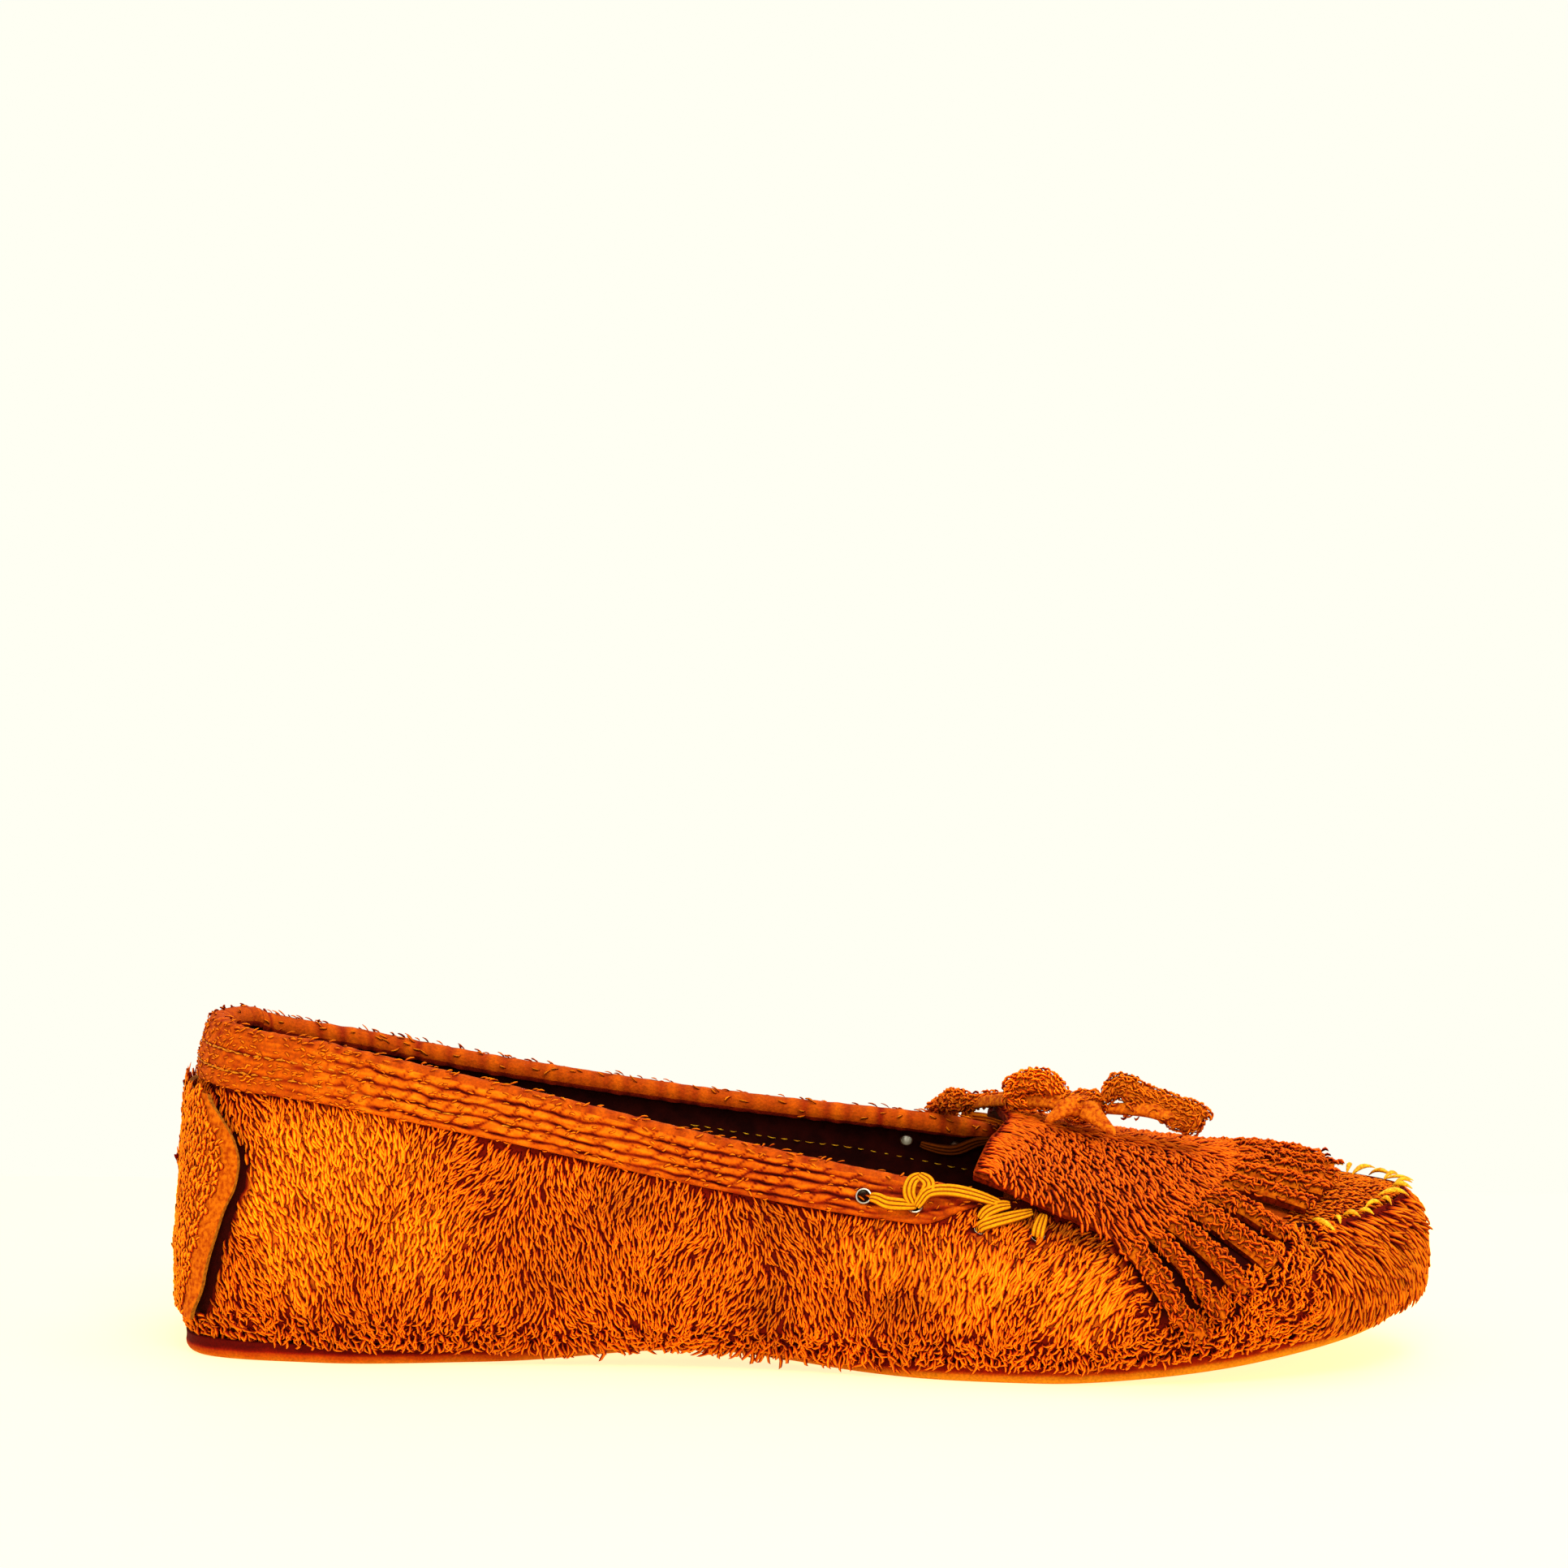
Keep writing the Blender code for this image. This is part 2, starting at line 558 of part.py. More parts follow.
def instep_line(x):
    """Across, height and distance from the ridge along the cross section at x, from near to far."""
    sides = {}
    for side, lines in SECTION_WALL.items():
        sides[side] = np.array(
            [[np.interp(x, line[:, 0], line[:, 1]), np.interp(x, line[:, 0], line[:, 2])] for line in lines]
        )
    near_edge, far_edge = sides["near"][-1], sides["far"][-1]
    across = np.linspace(0, 1, 21)[1:-1]
    top = near_edge + (far_edge - near_edge) * across[:, None]
    top[:, 1] += crown(x, across)
    line = np.concatenate([sides["near"], top, sides["far"][::-1]])
    run = np.concatenate([[0], np.cumsum(np.linalg.norm(np.diff(line, axis=0), axis=1))])
    even = np.arange(0, run[-1], 1.0)
    line = np.column_stack([np.interp(even, run, line[:, k]) for k in (0, 1)])
    padded = np.pad(line, ((SMOOTHING // 2, SMOOTHING // 2), (0, 0)), mode="reflect", reflect_type="odd")
    kernel = np.ones(SMOOTHING) / SMOOTHING
    smooth = np.column_stack([np.convolve(padded[:, k], kernel, mode="valid") for k in (0, 1)])
    ridge = np.interp((near_edge[0] + far_edge[0]) / 2, smooth[:, 0], even)
    return smooth[:, 0], smooth[:, 1], even - ridge


def instep_point(x, reach):
    y, z, run = instep_line(x)
    return np.array([x, np.interp(reach, run, y), np.interp(reach, run, z)])


def fan_point(angle, radius, out):
    """A point of the fringed flap; angle is in degrees from the toe, negative to the near side."""
    turn = math.radians(angle)
    x, reach = FAN_X + radius * math.cos(turn), radius * math.sin(turn)
    step = 1.0
    along = instep_point(x + step, reach) - instep_point(x - step, reach)
    over = instep_point(x, reach + step) - instep_point(x, reach - step)
    return instep_point(x, reach) + unit(np.cross(along, over)) * out


def rear_radius(angle):
    turn = math.radians(abs(angle))
    return FAN_REAR / (math.cos(turn) + FAN_REAR_SLANT * math.sin(turn))


def front_radius(angle):
    turn = math.radians(abs(angle))
    slope = FAN_SIDE_SLANT * math.sin(turn) - math.cos(turn)
    return min(FAN_ROOT, FAN_SIDE / slope) if slope > 0 else FAN_ROOT


def edge_lift(angle):
    """How far the flap curls up at this angle, rising from the outermost strips to the rear corners."""
    side = "near" if angle < 0 else "far"
    last = STRIPS[-1].cut
    return FAN_EDGE_LIFT[side] * np.clip((abs(angle) - STRIPS[-3].cut) / (FAN_CORNER - last), 0, 1)


def build_kilty(material):
    """A fan over the instep whose front edge is cut into strips that hang over the wall."""
    cuts = [0.0] + [strip.cut for strip in STRIPS]
    beside = np.linspace(cuts[-1], FAN_CORNER, FAN_SIDE_COLUMNS + 1)[1:]
    middles = [(a + b) / 2 for a, b in zip(cuts, cuts[1:])]
    half = sorted(set(cuts[1:]) | set(middles) | set(beside))
    angles = [-angle for angle in reversed(half)] + [0.0] + half
    low, high = [], []

    def place(angle, radius, lift):
        low.append(fan_point(angle, radius, FAN_REST + lift))
        high.append(fan_point(angle, radius, FAN_REST + lift + FAN_THICKNESS))
        return len(low) - 1

    body, faces = {}, []
    for angle in angles:
        rear, front = rear_radius(angle), front_radius(angle)
        for row in range(FAN_ROWS + 1):
            t = row / FAN_ROWS
            lift = max(edge_lift(angle), FAN_REAR_LIFT * (1 - t) ** 2)
            body[angle, row] = place(angle, rear + (front - rear) * t, lift)
    for a, b in zip(angles, angles[1:]):
        for row in range(FAN_ROWS):
            faces.append((body[a, row], body[a, row + 1], body[b, row + 1], body[b, row]))
    for sign in (-1, 1):
        for strip, inner, middle in zip(STRIPS, cuts, middles):
            root = [sign * angle for angle in (inner, middle, strip.cut)][::sign]
            before = [body[angle, FAN_ROWS] for angle in root]
            half_cut = (strip.cut - inner) / 2
            for row in range(1, STRIP_ROWS + 1):
                t = row / STRIP_ROWS
                radius = FAN_ROOT + (strip.tip - FAN_ROOT) * t
                reach = half_cut * (1 + (STRIP_WIDTH - 1) * min(1.0, 2 * t)) * FAN_ROOT / radius
                lift = edge_lift(sign * middle) + strip.lift * math.sin(math.pi * min(0.75, t))
                after = [place(sign * middle + k * reach, radius, lift) for k in (-1, 0, 1)]
                faces += [(before[k], after[k], after[k + 1], before[k + 1]) for k in (0, 1)]
                before = after
    return sheet_object("kilty", np.array(high), np.array(low), faces, material)


def frame_at(at, depth, out):
    """Place, outward direction and forward direction on the wall."""
    point = below_edge(at, depth, out)
    outward = unit(below_edge(at, depth, out + 1.0) - point)
    forward = below_edge(at + 1e-3, depth, out) - point
    forward = unit(forward - outward * np.dot(forward, outward))
    return point, outward, forward


def on_side(x, side):
    """A place along the near side, or the matching place between the eyelets of the far side."""
    if side == "near":
        return x
    return np.interp(x, [eyelet.near_x for eyelet in EYELETS], [eyelet.far_x for eyelet in EYELETS])


def eyelet_frame(eyelet, side):
    surface = GAP + COLLAR_THICKNESS + COLLAR_PUFF if eyelet.on_collar else 0.0
    return frame_at(edge_share(on_side(eyelet.near_x, side), side), eyelet.depth, surface + GAP)


def turned(frame, profile, sides):
    """Points of a profile of radius and height turned about the frame's outward direction."""
    point, outward, forward = frame
    other = np.cross(outward, forward)
    rows = []
    for k in range(sides):
        turn = 2 * math.pi * k / sides
        spoke = forward * math.cos(turn) + other * math.sin(turn)
        rows.append([point + spoke * radius + outward * height for radius, height in profile])
    return np.array(rows)


def build_eyelet(name, eyelet, side, material):
    through = WALL + 2 * GAP
    if eyelet.on_collar:
        through += COLLAR_THICKNESS + COLLAR_PUFF + GAP
    profile = (
        (EYELET_BORE, -through),
        (EYELET_BARREL, -through),
        (EYELET_BARREL, 0.0),
        (EYELET_FLANGE, 0.0),
        (EYELET_FLANGE - EYELET_BEVEL, EYELET_RIM),
        (EYELET_BORE, EYELET_RIM),
    )
    rows = turned(eyelet_frame(eyelet, side), profile, EYELET_SIDES)
    count = len(profile)
    faces = []
    for k in range(EYELET_SIDES):
        row, after = k * count, (k + 1) % EYELET_SIDES * count
        for j in range(count):
            faces.append((row + j, after + j, after + (j + 1) % count, row + (j + 1) % count))
    return add_object(name, rows.reshape(-1, 3), faces, material)


def eyelet_cutters(name, eyelets, side):
    """Cylinders that open the wall or the band for the eyelets' barrels, as one hidden cutter."""
    points, faces = [], []
    for eyelet in eyelets:
        profile = ((EYELET_BARREL + GAP, -CUTTER_IN), (EYELET_BARREL + GAP, CUTTER_OUT))
        rows = turned(eyelet_frame(eyelet, side), profile, EYELET_SIDES)
        start = len(points)
        points += list(rows.reshape(-1, 3))
        lower = [start + 2 * k for k in range(EYELET_SIDES)]
        upper = [start + 2 * k + 1 for k in range(EYELET_SIDES)]
        for k in range(EYELET_SIDES):
            n = (k + 1) % EYELET_SIDES
            faces.append((lower[k], lower[n], upper[n], upper[k]))
        faces += [tuple(reversed(lower)), tuple(upper)]
    cutter = add_object(name, np.array(points), faces, None)
    cutter.hide_render = True
    cutter.display_type = "WIRE"
    return cutter


def add_boolean(target, operation, other):
    modifier = target.modifiers.new(f"{operation.lower()}_{other.name}", "BOOLEAN")
    modifier.operation = operation
    modifier.object = other
    modifier.solver = "EXACT"


def through_points(points, count):
    """A smooth curve through points, evenly spaced, as count + 1 points."""
    points = np.asarray(points, float)
    padded = np.concatenate([[2 * points[0] - points[1]], points, [2 * points[-1] - points[-2]]])
    dense = []
    for a, b, c, d in zip(padded, padded[1:], padded[2:], padded[3:]):
        t = np.linspace(0, 1, 24, endpoint=False)[:, None]
        bend = (2 * a - 5 * b + 4 * c - d) * t**2 + (3 * b - a - 3 * c + d) * t**3
        dense.append((2 * b + (c - a) * t + bend) / 2)
    dense = np.concatenate(dense + [points[-1:]])
    run = np.concatenate([[0], np.cumsum(np.linalg.norm(np.diff(dense[:, :3], axis=0), axis=1))])
    even = np.linspace(0, run[-1], count + 1)
    return np.column_stack([np.interp(even, run, dense[:, k]) for k in range(dense.shape[1])])


def ribbon_object(name, line, across, width, thickness, material):
    """A flat strap of rounded section along a line, lying in the across directions."""
    along = unit(np.gradient(line, axis=0))
    across = unit(across - along * np.sum(across * along, axis=1)[:, None])
    up = np.cross(across, along)
    a, b = width / 2, thickness / 2
    edge, flat = STRAP_EDGE * b, STRAP_FLAT * a
    upper_half = ((a, edge), (flat, b), (-flat, b), (-a, edge))
    section = upper_half + tuple((-x, -z) for x, z in upper_half)
    rows = [p + w * x + u * z for p, w, u in zip(line, across, up) for x, z in section]
    count = len(section)
    faces = [tuple(reversed(face)) for face in grid_faces(len(line), count, closed=True)]
    last = (len(line) - 1) * count
    faces += [tuple(range(count)), tuple(last + j for j in reversed(range(count)))]
    return add_object(name, np.array(rows), faces, material)


def lace_bar(name, bar, side, material):
    """One bar of the lace on the wall, flat side to the leather."""
    shares = [edge_share(on_side(point.x, side), side) for point in bar]
    frames = [frame_at(at, point.depth, point.out) for at, point in zip(shares, bar)]
    rows = through_points([np.concatenate(frame[:2]) for frame in frames], LACE_STEPS)
    line, outward = rows[:, :3], rows[:, 3:]
    across = np.cross(np.gradient(line, axis=0), outward)
    return ribbon_object(name, line, across, LACE_WIDTH, LACE_THICKNESS, material)


def build_lace(side, material):
    for part, bars in LACE_BARS.items():
        first = lace_bar(f"lace_{side}_{part}", bars[0], side, material)
        for number, bar in enumerate(bars[1:], 2):
            joined = lace_bar(f"lace_{side}_{part}_join_{number}", bar, side, material)
            joined.hide_render = True
            joined.display_type = "WIRE"
            add_boolean(first, "UNION", joined)


def build_bow(material):
    for name, path in BOW_PATHS.items():
        rows = through_points(path, BOW_STEPS)
        ribbon_object(name, rows[:, :3], rows[:, 3:], BOW_WIDTH, BOW_THICKNESS, material)
    knot = bmesh.new()
    bmesh.ops.create_cube(knot, size=1.0)
    bmesh.ops.scale(knot, vec=KNOT_SIZE, verts=knot.verts)
    bmesh.ops.bevel(knot, geom=knot.edges[:], offset=KNOT_ROUND, segments=2, affect="EDGES", profile=0.5)
    points = np.array([vertex.co[:] for vertex in knot.verts]) + KNOT_CENTRE
    faces = [tuple(vertex.index for vertex in face.verts) for face in knot.faces]
    knot.free()
    add_object("bow_knot", points, faces, material)


def stand_centred():
    """Moves the whole shoe so that the middle of its plan box lies on the origin."""
    bpy.context.view_layer.update()
    corners = []
    for made in bpy.data.objects:
        if not made.hide_render:
            corners += [vertex.co for vertex in made.data.vertices]
    corners = np.array(corners)
    middle = (corners.min(axis=0) + corners.max(axis=0)) / 2
    for made in bpy.data.objects:
        made.location = (-middle[0], -middle[1], 0.0)


def build():
    clear_scene()
    finishes = {name: make_material(name) for name in FINISHES}
    build_outsole(finishes["rubber"])
    build_insole(finishes["insole_leather"])
    upper = build_upper(finishes["suede"])
    build_plug(finishes["suede"])
    collar = build_collar(finishes["suede_band"])
    build_heel_flap(finishes["suede"])
    build_kilty(finishes["suede_flap"])
    for side in ("near", "far"):
        add_boolean(upper, "DIFFERENCE", eyelet_cutters(f"holes_{side}", EYELETS, side))
        on_collar = [eyelet for eyelet in EYELETS if eyelet.on_collar]
        add_boolean(collar, "DIFFERENCE", eyelet_cutters(f"collar_holes_{side}", on_collar, side))
        for number, eyelet in enumerate(EYELETS, 1):
            build_eyelet(f"eyelet_{side}_{number}", eyelet, side, finishes["eyelet_metal"])
        build_lace(side, finishes["flat_lace"])
    build_bow(finishes["suede_strap"])
    stand_centred()


build()
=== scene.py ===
"""Looks of the left moccasin: napped wall, bound collar, fringed flap, bow, lace, stitches and rubber sole.

Lengths are in millimetres on the last, whose toe points to +X and whose inner side, "near", lies at -Y.
"""

import json
import math
from collections import namedtuple

import bpy
import numpy as np
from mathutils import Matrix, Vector, noise

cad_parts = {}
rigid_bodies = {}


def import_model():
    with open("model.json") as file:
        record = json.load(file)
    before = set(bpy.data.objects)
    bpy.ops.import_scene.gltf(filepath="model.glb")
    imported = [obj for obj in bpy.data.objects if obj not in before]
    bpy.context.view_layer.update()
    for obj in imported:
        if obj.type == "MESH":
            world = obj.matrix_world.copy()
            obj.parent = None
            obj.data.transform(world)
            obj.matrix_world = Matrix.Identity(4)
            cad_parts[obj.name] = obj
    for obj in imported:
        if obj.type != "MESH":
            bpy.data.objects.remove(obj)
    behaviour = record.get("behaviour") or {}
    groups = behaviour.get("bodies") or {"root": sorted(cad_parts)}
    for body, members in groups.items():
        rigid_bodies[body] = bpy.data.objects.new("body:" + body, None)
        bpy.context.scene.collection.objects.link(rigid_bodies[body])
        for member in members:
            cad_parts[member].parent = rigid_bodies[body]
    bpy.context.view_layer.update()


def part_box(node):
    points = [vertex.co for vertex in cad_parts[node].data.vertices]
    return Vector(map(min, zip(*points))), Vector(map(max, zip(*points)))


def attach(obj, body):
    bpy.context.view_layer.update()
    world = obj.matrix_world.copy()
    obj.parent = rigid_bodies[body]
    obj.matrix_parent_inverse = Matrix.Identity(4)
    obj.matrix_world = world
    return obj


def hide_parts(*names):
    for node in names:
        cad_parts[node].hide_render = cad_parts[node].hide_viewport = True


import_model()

MM = 0.001
SIDES = ("near", "far")
KNOT_CENTRE = np.array([55.5, -1.0, 48.2])
SHIFT = (np.array(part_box("bow_knot")).mean(axis=0) / MM - KNOT_CENTRE) * (1, 1, 0)  # last to part

# The last, as the part has it
LAST_LENGTH, BALL_WIDTH, BACK_HEIGHT, INSTEP_CROWN = 246.0, 86.0, 64.0, 6.0
TOE_SPRING, ARCH_RISE = 9.4, 1.6
WALL, GAP = 1.8, 0.3
BELLY_SQUARENESS, LEAN_POWER = 4.0, 1.8
Section = namedtuple(
    "Section",
    "name along near far tuck_near tuck_far belly lean_near lean_far edge_near edge_far sole_near sole_far",
)
SECTIONS = (
    Section("heel_back", -0.003, 0.000, 0.000, 6.0, 6.0, 12.0, 6.6, 6.6, 1.000, 1.000, 1.2, 1.2),
    Section("heel_round", 0.018, 0.245, 0.245, 6.0, 6.0, 12.0, 9.6, 9.6, 0.994, 0.976, -0.4, -0.4),
    Section("heel_side", 0.116, 0.360, 0.360, 6.0, 6.0, 12.0, 8.0, 8.0, 0.963, 0.897, 1.5, 1.8),
    Section("quarter", 0.274, 0.378, 0.384, 10.5, 7.0, 11.0, 6.5, 7.0, 0.841, 0.786, 7.0, 3.0),
    Section("waist", 0.437, 0.395, 0.419, 17.0, 8.0, 10.0, 4.5, 6.0, 0.702, 0.689, 14.0, 4.0),
    Section("throat", 0.620, 0.471, 0.483, 6.5, 6.5, 12.0, 8.5, 9.5, 0.570, 0.612, 2.5, 2.5),
    Section("ball", 0.750, 0.506, 0.488, 7.0, 7.0, 11.0, 10.5, 10.0, 0.508, 0.540, 3.0, 2.5),
    Section("toe_side", 0.872, 0.458, 0.415, 7.0, 7.0, 10.0, 11.5, 8.5, 0.473, 0.508, 3.0, 3.0),
    Section("toe_round", 0.960, 0.306, 0.240, 7.0, 7.0, 8.0, 8.0, 6.0, 0.468, 0.508, 3.5, 3.5),
    Section("toe_tip", 1.000, 0.035, -0.035, 7.0, 7.0, 6.5, 4.0, 4.0, 0.512, 0.512, 4.0, 4.0),
)
SOLE_X = (-123.0, -62.0, -20.0, 20.0, 70.0, 123.0)
SOLE_THICKNESS = (3.8, 3.8, 3.0, 3.7, 3.7, 3.2)
ARCH_BACK, ARCH_FRONT = -62.0, 16.0
SPRING_START, SPRING_END, SPRING_POWER = 50.0, 119.3, 1.6
PLUG_BACK, PLUG_THICKNESS, PLUG_SINK, PLUG_REACH = 41.0, 1.6, 0.4, 0.94
COLLAR_HEEL_WIDTH, COLLAR_THROAT_WIDTH, COLLAR_END = 11.5, 8.0, 33.0
COLLAR_THICKNESS, COLLAR_PUFF, COLLAR_INSIDE = 1.2, 0.35, 0.14
COLLAR_TIP, COLLAR_TIP_WIDTH = 47.0, 2.2  # the band thins out under the fringed flap
FlapRow = namedtuple("FlapRow", "height half_width middle_off edge_off")
FLAP_ROWS = (
    FlapRow(51.0, 21.5, 1.9, 2.3),
    FlapRow(48.0, 27.0, 1.6, 2.1),
    FlapRow(44.0, 31.5, 1.2, 2.0),
    FlapRow(39.5, 33.5, 0.8, 1.9),
    FlapRow(34.0, 33.0, 0.5, 1.9),
    FlapRow(30.0, 31.0, 0.4, 2.0),
    FlapRow(26.0, 30.0, 0.3, 2.2),
    FlapRow(20.0, 28.3, 0.3, 2.5),
    FlapRow(13.0, 26.6, 0.3, 2.5),
    FlapRow(8.0, 23.0, 0.3, 2.0),
)
FLAP_THICKNESS, FLAP_CURL_POWER = 1.7, 2.5
FAN_X, FAN_REAR, FAN_REAR_SLANT = 31.0, 9.0, 0.165
FAN_SIDE, FAN_SIDE_SLANT, FAN_ROOT, FAN_CORNER = 103.0, 3.345, 53.0, 83.0
FAN_THICKNESS, FAN_REST, FAN_REAR_LIFT = 1.6, 0.8, 0.9
FAN_EDGE_LIFT = {"near": 2.2, "far": 1.5}
STRIP_WIDTH = 0.70
Strip = namedtuple("Strip", "cut tip lift slack")
STRIPS = (
    Strip(7.0, 74.0, 0.5, 0.0),
    Strip(14.0, 73.0, 0.9, 0.0),
    Strip(21.5, 72.0, 0.8, -0.9),
    Strip(29.0, 71.5, 0.5, 0.7),
    Strip(36.0, 73.5, 0.6, 0.0),
    Strip(42.0, 73.0, 1.0, 0.3),
    Strip(46.5, 73.5, 0.6, 0.0),
    Strip(52.5, 74.0, 1.0, 0.0),
)
Eyelet = namedtuple("Eyelet", "near_x far_x depth on_collar")
EYELETS = (
    Eyelet(14.5, 19.0, 4.8, True),
    Eyelet(24.5, 29.0, 5.0, True),
    Eyelet(37.5, 39.5, 7.0, False),
    Eyelet(48.5, 49.5, 7.0, False),
)
EYELET_BORE, EYELET_BARREL, EYELET_FLANGE, EYELET_RIM = 1.15, 1.35, 1.65, 0.4

# The photograph's camera: turned towards the toe, looking down, at the distance that gives its perspective
CAMERA_TURN, CAMERA_RISE, CAMERA_DISTANCE = math.radians(4.0), math.radians(10.0), 1500.0
CAMERA_TARGET = np.array([0.0, 0.0, 30.0])
IMAGE_SIZE, TARGET_PIXEL, PIXELS_PER_MM = 1932, (990.0, 1470.0), 6.19
SENSOR = 36.0

FLOOR_HALF, FLOOR_BACK = 3.0, 0.181  # metres; the backdrop takes over behind the shoe


def unit(vectors):
    return vectors / np.maximum(np.linalg.norm(vectors, axis=-1, keepdims=True), 1e-9)


def linear(hex_colour):
    """Linear red, green, blue and alpha of an sRGB hex colour."""
    parts = [int(hex_colour[i : i + 2], 16) / 255 for i in (0, 2, 4)]
    return [c / 12.92 if c <= 0.04045 else ((c + 0.055) / 1.055) ** 2.4 for c in parts] + [1.0]


# Camera, light and floor
def set_camera():
    focal = PIXELS_PER_MM * CAMERA_DISTANCE
    turn, rise = CAMERA_TURN, CAMERA_RISE
    back = np.array([math.sin(turn) * math.cos(rise), -math.cos(turn) * math.cos(rise), math.sin(rise)])
    right = np.array([math.cos(turn), math.sin(turn), 0.0])
    pitch = rise - math.atan((TARGET_PIXEL[1] - IMAGE_SIZE / 2) / focal)
    ahead = np.array([-math.sin(turn) * math.cos(pitch), math.cos(turn) * math.cos(pitch), -math.sin(pitch)])
    place = CAMERA_TARGET + back * CAMERA_DISTANCE
    aside = (TARGET_PIXEL[0] - IMAGE_SIZE / 2) / focal
    place = place - right * (aside * np.dot(CAMERA_TARGET - place, ahead))
    camera = bpy.data.objects.new("camera", bpy.data.cameras.new("camera"))
    camera.data.sensor_width = SENSOR
    camera.data.lens = focal / IMAGE_SIZE * SENSOR
    camera.data.clip_end = 20.0
    camera.location = (place + SHIFT) * MM
    camera.rotation_euler = Vector(ahead).to_track_quat("-Z", "Y").to_euler()
    bpy.context.scene.collection.objects.link(camera)
    bpy.context.scene.camera = camera


def add(tree, kind, inputs=None, **settings):
    """Adds a node with its settings; an input is a value or the socket that feeds it."""
    node = tree.nodes.new(kind)
    for name, value in settings.items():
        setattr(node, name, value)
    for name, value in (inputs or {}).items():
        if isinstance(value, bpy.types.NodeSocket):
            tree.links.new(value, node.inputs[name])
        else:
            node.inputs[name].default_value = value
    return node


def soft_light(name, place, target, size, power):
    light = bpy.data.objects.new(name, bpy.data.lights.new(name, "AREA"))
    light.data.shape = "RECTANGLE"
    light.data.size, light.data.size_y = size
    light.data.energy = power
    light.location = place
    light.rotation_euler = (Vector(target) - Vector(place)).to_track_quat("-Z", "Y").to_euler()
    bpy.context.scene.collection.objects.link(light)


def set_studio():
    scene = bpy.context.scene
    scene.view_settings.view_transform = "Standard"
    world = bpy.data.worlds.new("studio")
    world.use_nodes = True
    surround = world.node_tree.nodes["Background"]
    surround.inputs["Color"].default_value = linear("FFFFF3")
    surround.inputs["Strength"].default_value = 1.0
    scene.world = world
    soft_light("key", (0.25, -0.9, 1.1), (0.0, 0.0, 0.03), (0.7, 0.5), 11.0)
    soft_light("top", (0.35, 0.2, 1.2), (0.0, 0.0, 0.03), (0.9, 0.6), 6.0)
    floor = bpy.data.meshes.new("floor")
    corners = [(-1, -FLOOR_HALF), (1, -FLOOR_HALF), (1, FLOOR_BACK), (-1, FLOOR_BACK)]
    floor.from_pydata([(side * FLOOR_HALF, y, 0) for side, y in corners], [], [(0, 1, 2, 3)])
    paint, _, shader = new_material("matt white table")
    shader.inputs["Base Color"].default_value = linear("D9D384")
    shader.inputs["Emission Color"].default_value = linear("FAE9B9")
    shader.inputs["Emission Strength"].default_value = 1.0
    shader.inputs["Roughness"].default_value = 0.7
    floor.materials.append(paint)
    table = bpy.data.objects.new("floor", floor)
    scene.collection.objects.link(table)


def new_material(name):
    material = bpy.data.materials.new(name)
    material.use_nodes = True
    return material, material.node_tree, material.node_tree.nodes["Principled BSDF"]


# Surfaces of the last
def station_loop():
    def row(section, side):
        sign = -1 if side == "near" else 1
        pick = {name: getattr(section, f"{name}_{side}") for name in ("tuck", "lean", "edge", "sole")}
        return (
            (section.along - 0.5) * LAST_LENGTH,
            sign * getattr(section, side) * BALL_WIDTH,
            pick["tuck"],
            section.belly,
            pick["lean"],
            pick["edge"] * BACK_HEIGHT,
            pick["sole"],
        )

    near = [row(section, "near") for section in SECTIONS]
    far = [row(section, "far") for section in reversed(SECTIONS[1:-1])]
    return np.array(near + far)


STATIONS = station_loop()
CHORDS = np.linalg.norm(np.roll(STATIONS, -1, axis=0)[:, :2] - STATIONS[:, :2], axis=1)
GIRTH = CHORDS.sum()
KNOTS = np.concatenate([[0.0], np.cumsum(CHORDS)]) / GIRTH
TOE = KNOTS[len(SECTIONS) - 1]
SECANTS = (np.roll(STATIONS, -1, axis=0) - STATIONS) / (CHORDS / GIRTH)[:, None]
BEFORE = np.roll(CHORDS, 1)[:, None]
SLOPES = (np.roll(SECANTS, 1, axis=0) * CHORDS[:, None] + SECANTS * BEFORE) / (CHORDS[:, None] + BEFORE)


def section_values(at):
    """Section values at shares of the way round the last, on a smooth closed curve through the sections."""
    at = np.mod(np.asarray(at, float), 1.0)
    i = np.clip(np.searchsorted(KNOTS, at, side="right") - 1, 0, len(STATIONS) - 1)
    k = (i + 1) % len(STATIONS)
    span = KNOTS[i + 1] - KNOTS[i]
    t = ((at - KNOTS[i]) / span)[..., None]
    span = span[..., None]
    ends = (1 + 2 * t) * (1 - t) ** 2 * STATIONS[i] + t**2 * (3 - 2 * t) * STATIONS[k]
    return ends + t * (1 - t) ** 2 * span * SLOPES[i] - t**2 * (1 - t) * span * SLOPES[k]


def inward(at):
    step = 1e-4
    along = section_values(np.asarray(at) + step) - section_values(np.asarray(at) - step)
    return unit(np.stack([-along[..., 1], along[..., 0]], axis=-1))


def inset_line(at, inset):
    return section_values(at)[..., :2] + inward(at) * np.asarray(inset)[..., None]


def sole_bottom(x):
    arch = np.clip((x - ARCH_BACK) / (ARCH_FRONT - ARCH_BACK), 0, 1)
    toe = np.clip((x - SPRING_START) / (SPRING_END - SPRING_START), 0, None)
    return ARCH_RISE * np.sin(math.pi * arch) ** 2 + TOE_SPRING * toe**SPRING_POWER


def sole_top(x):
    return sole_bottom(x) + np.interp(x, SOLE_X, SOLE_THICKNESS)


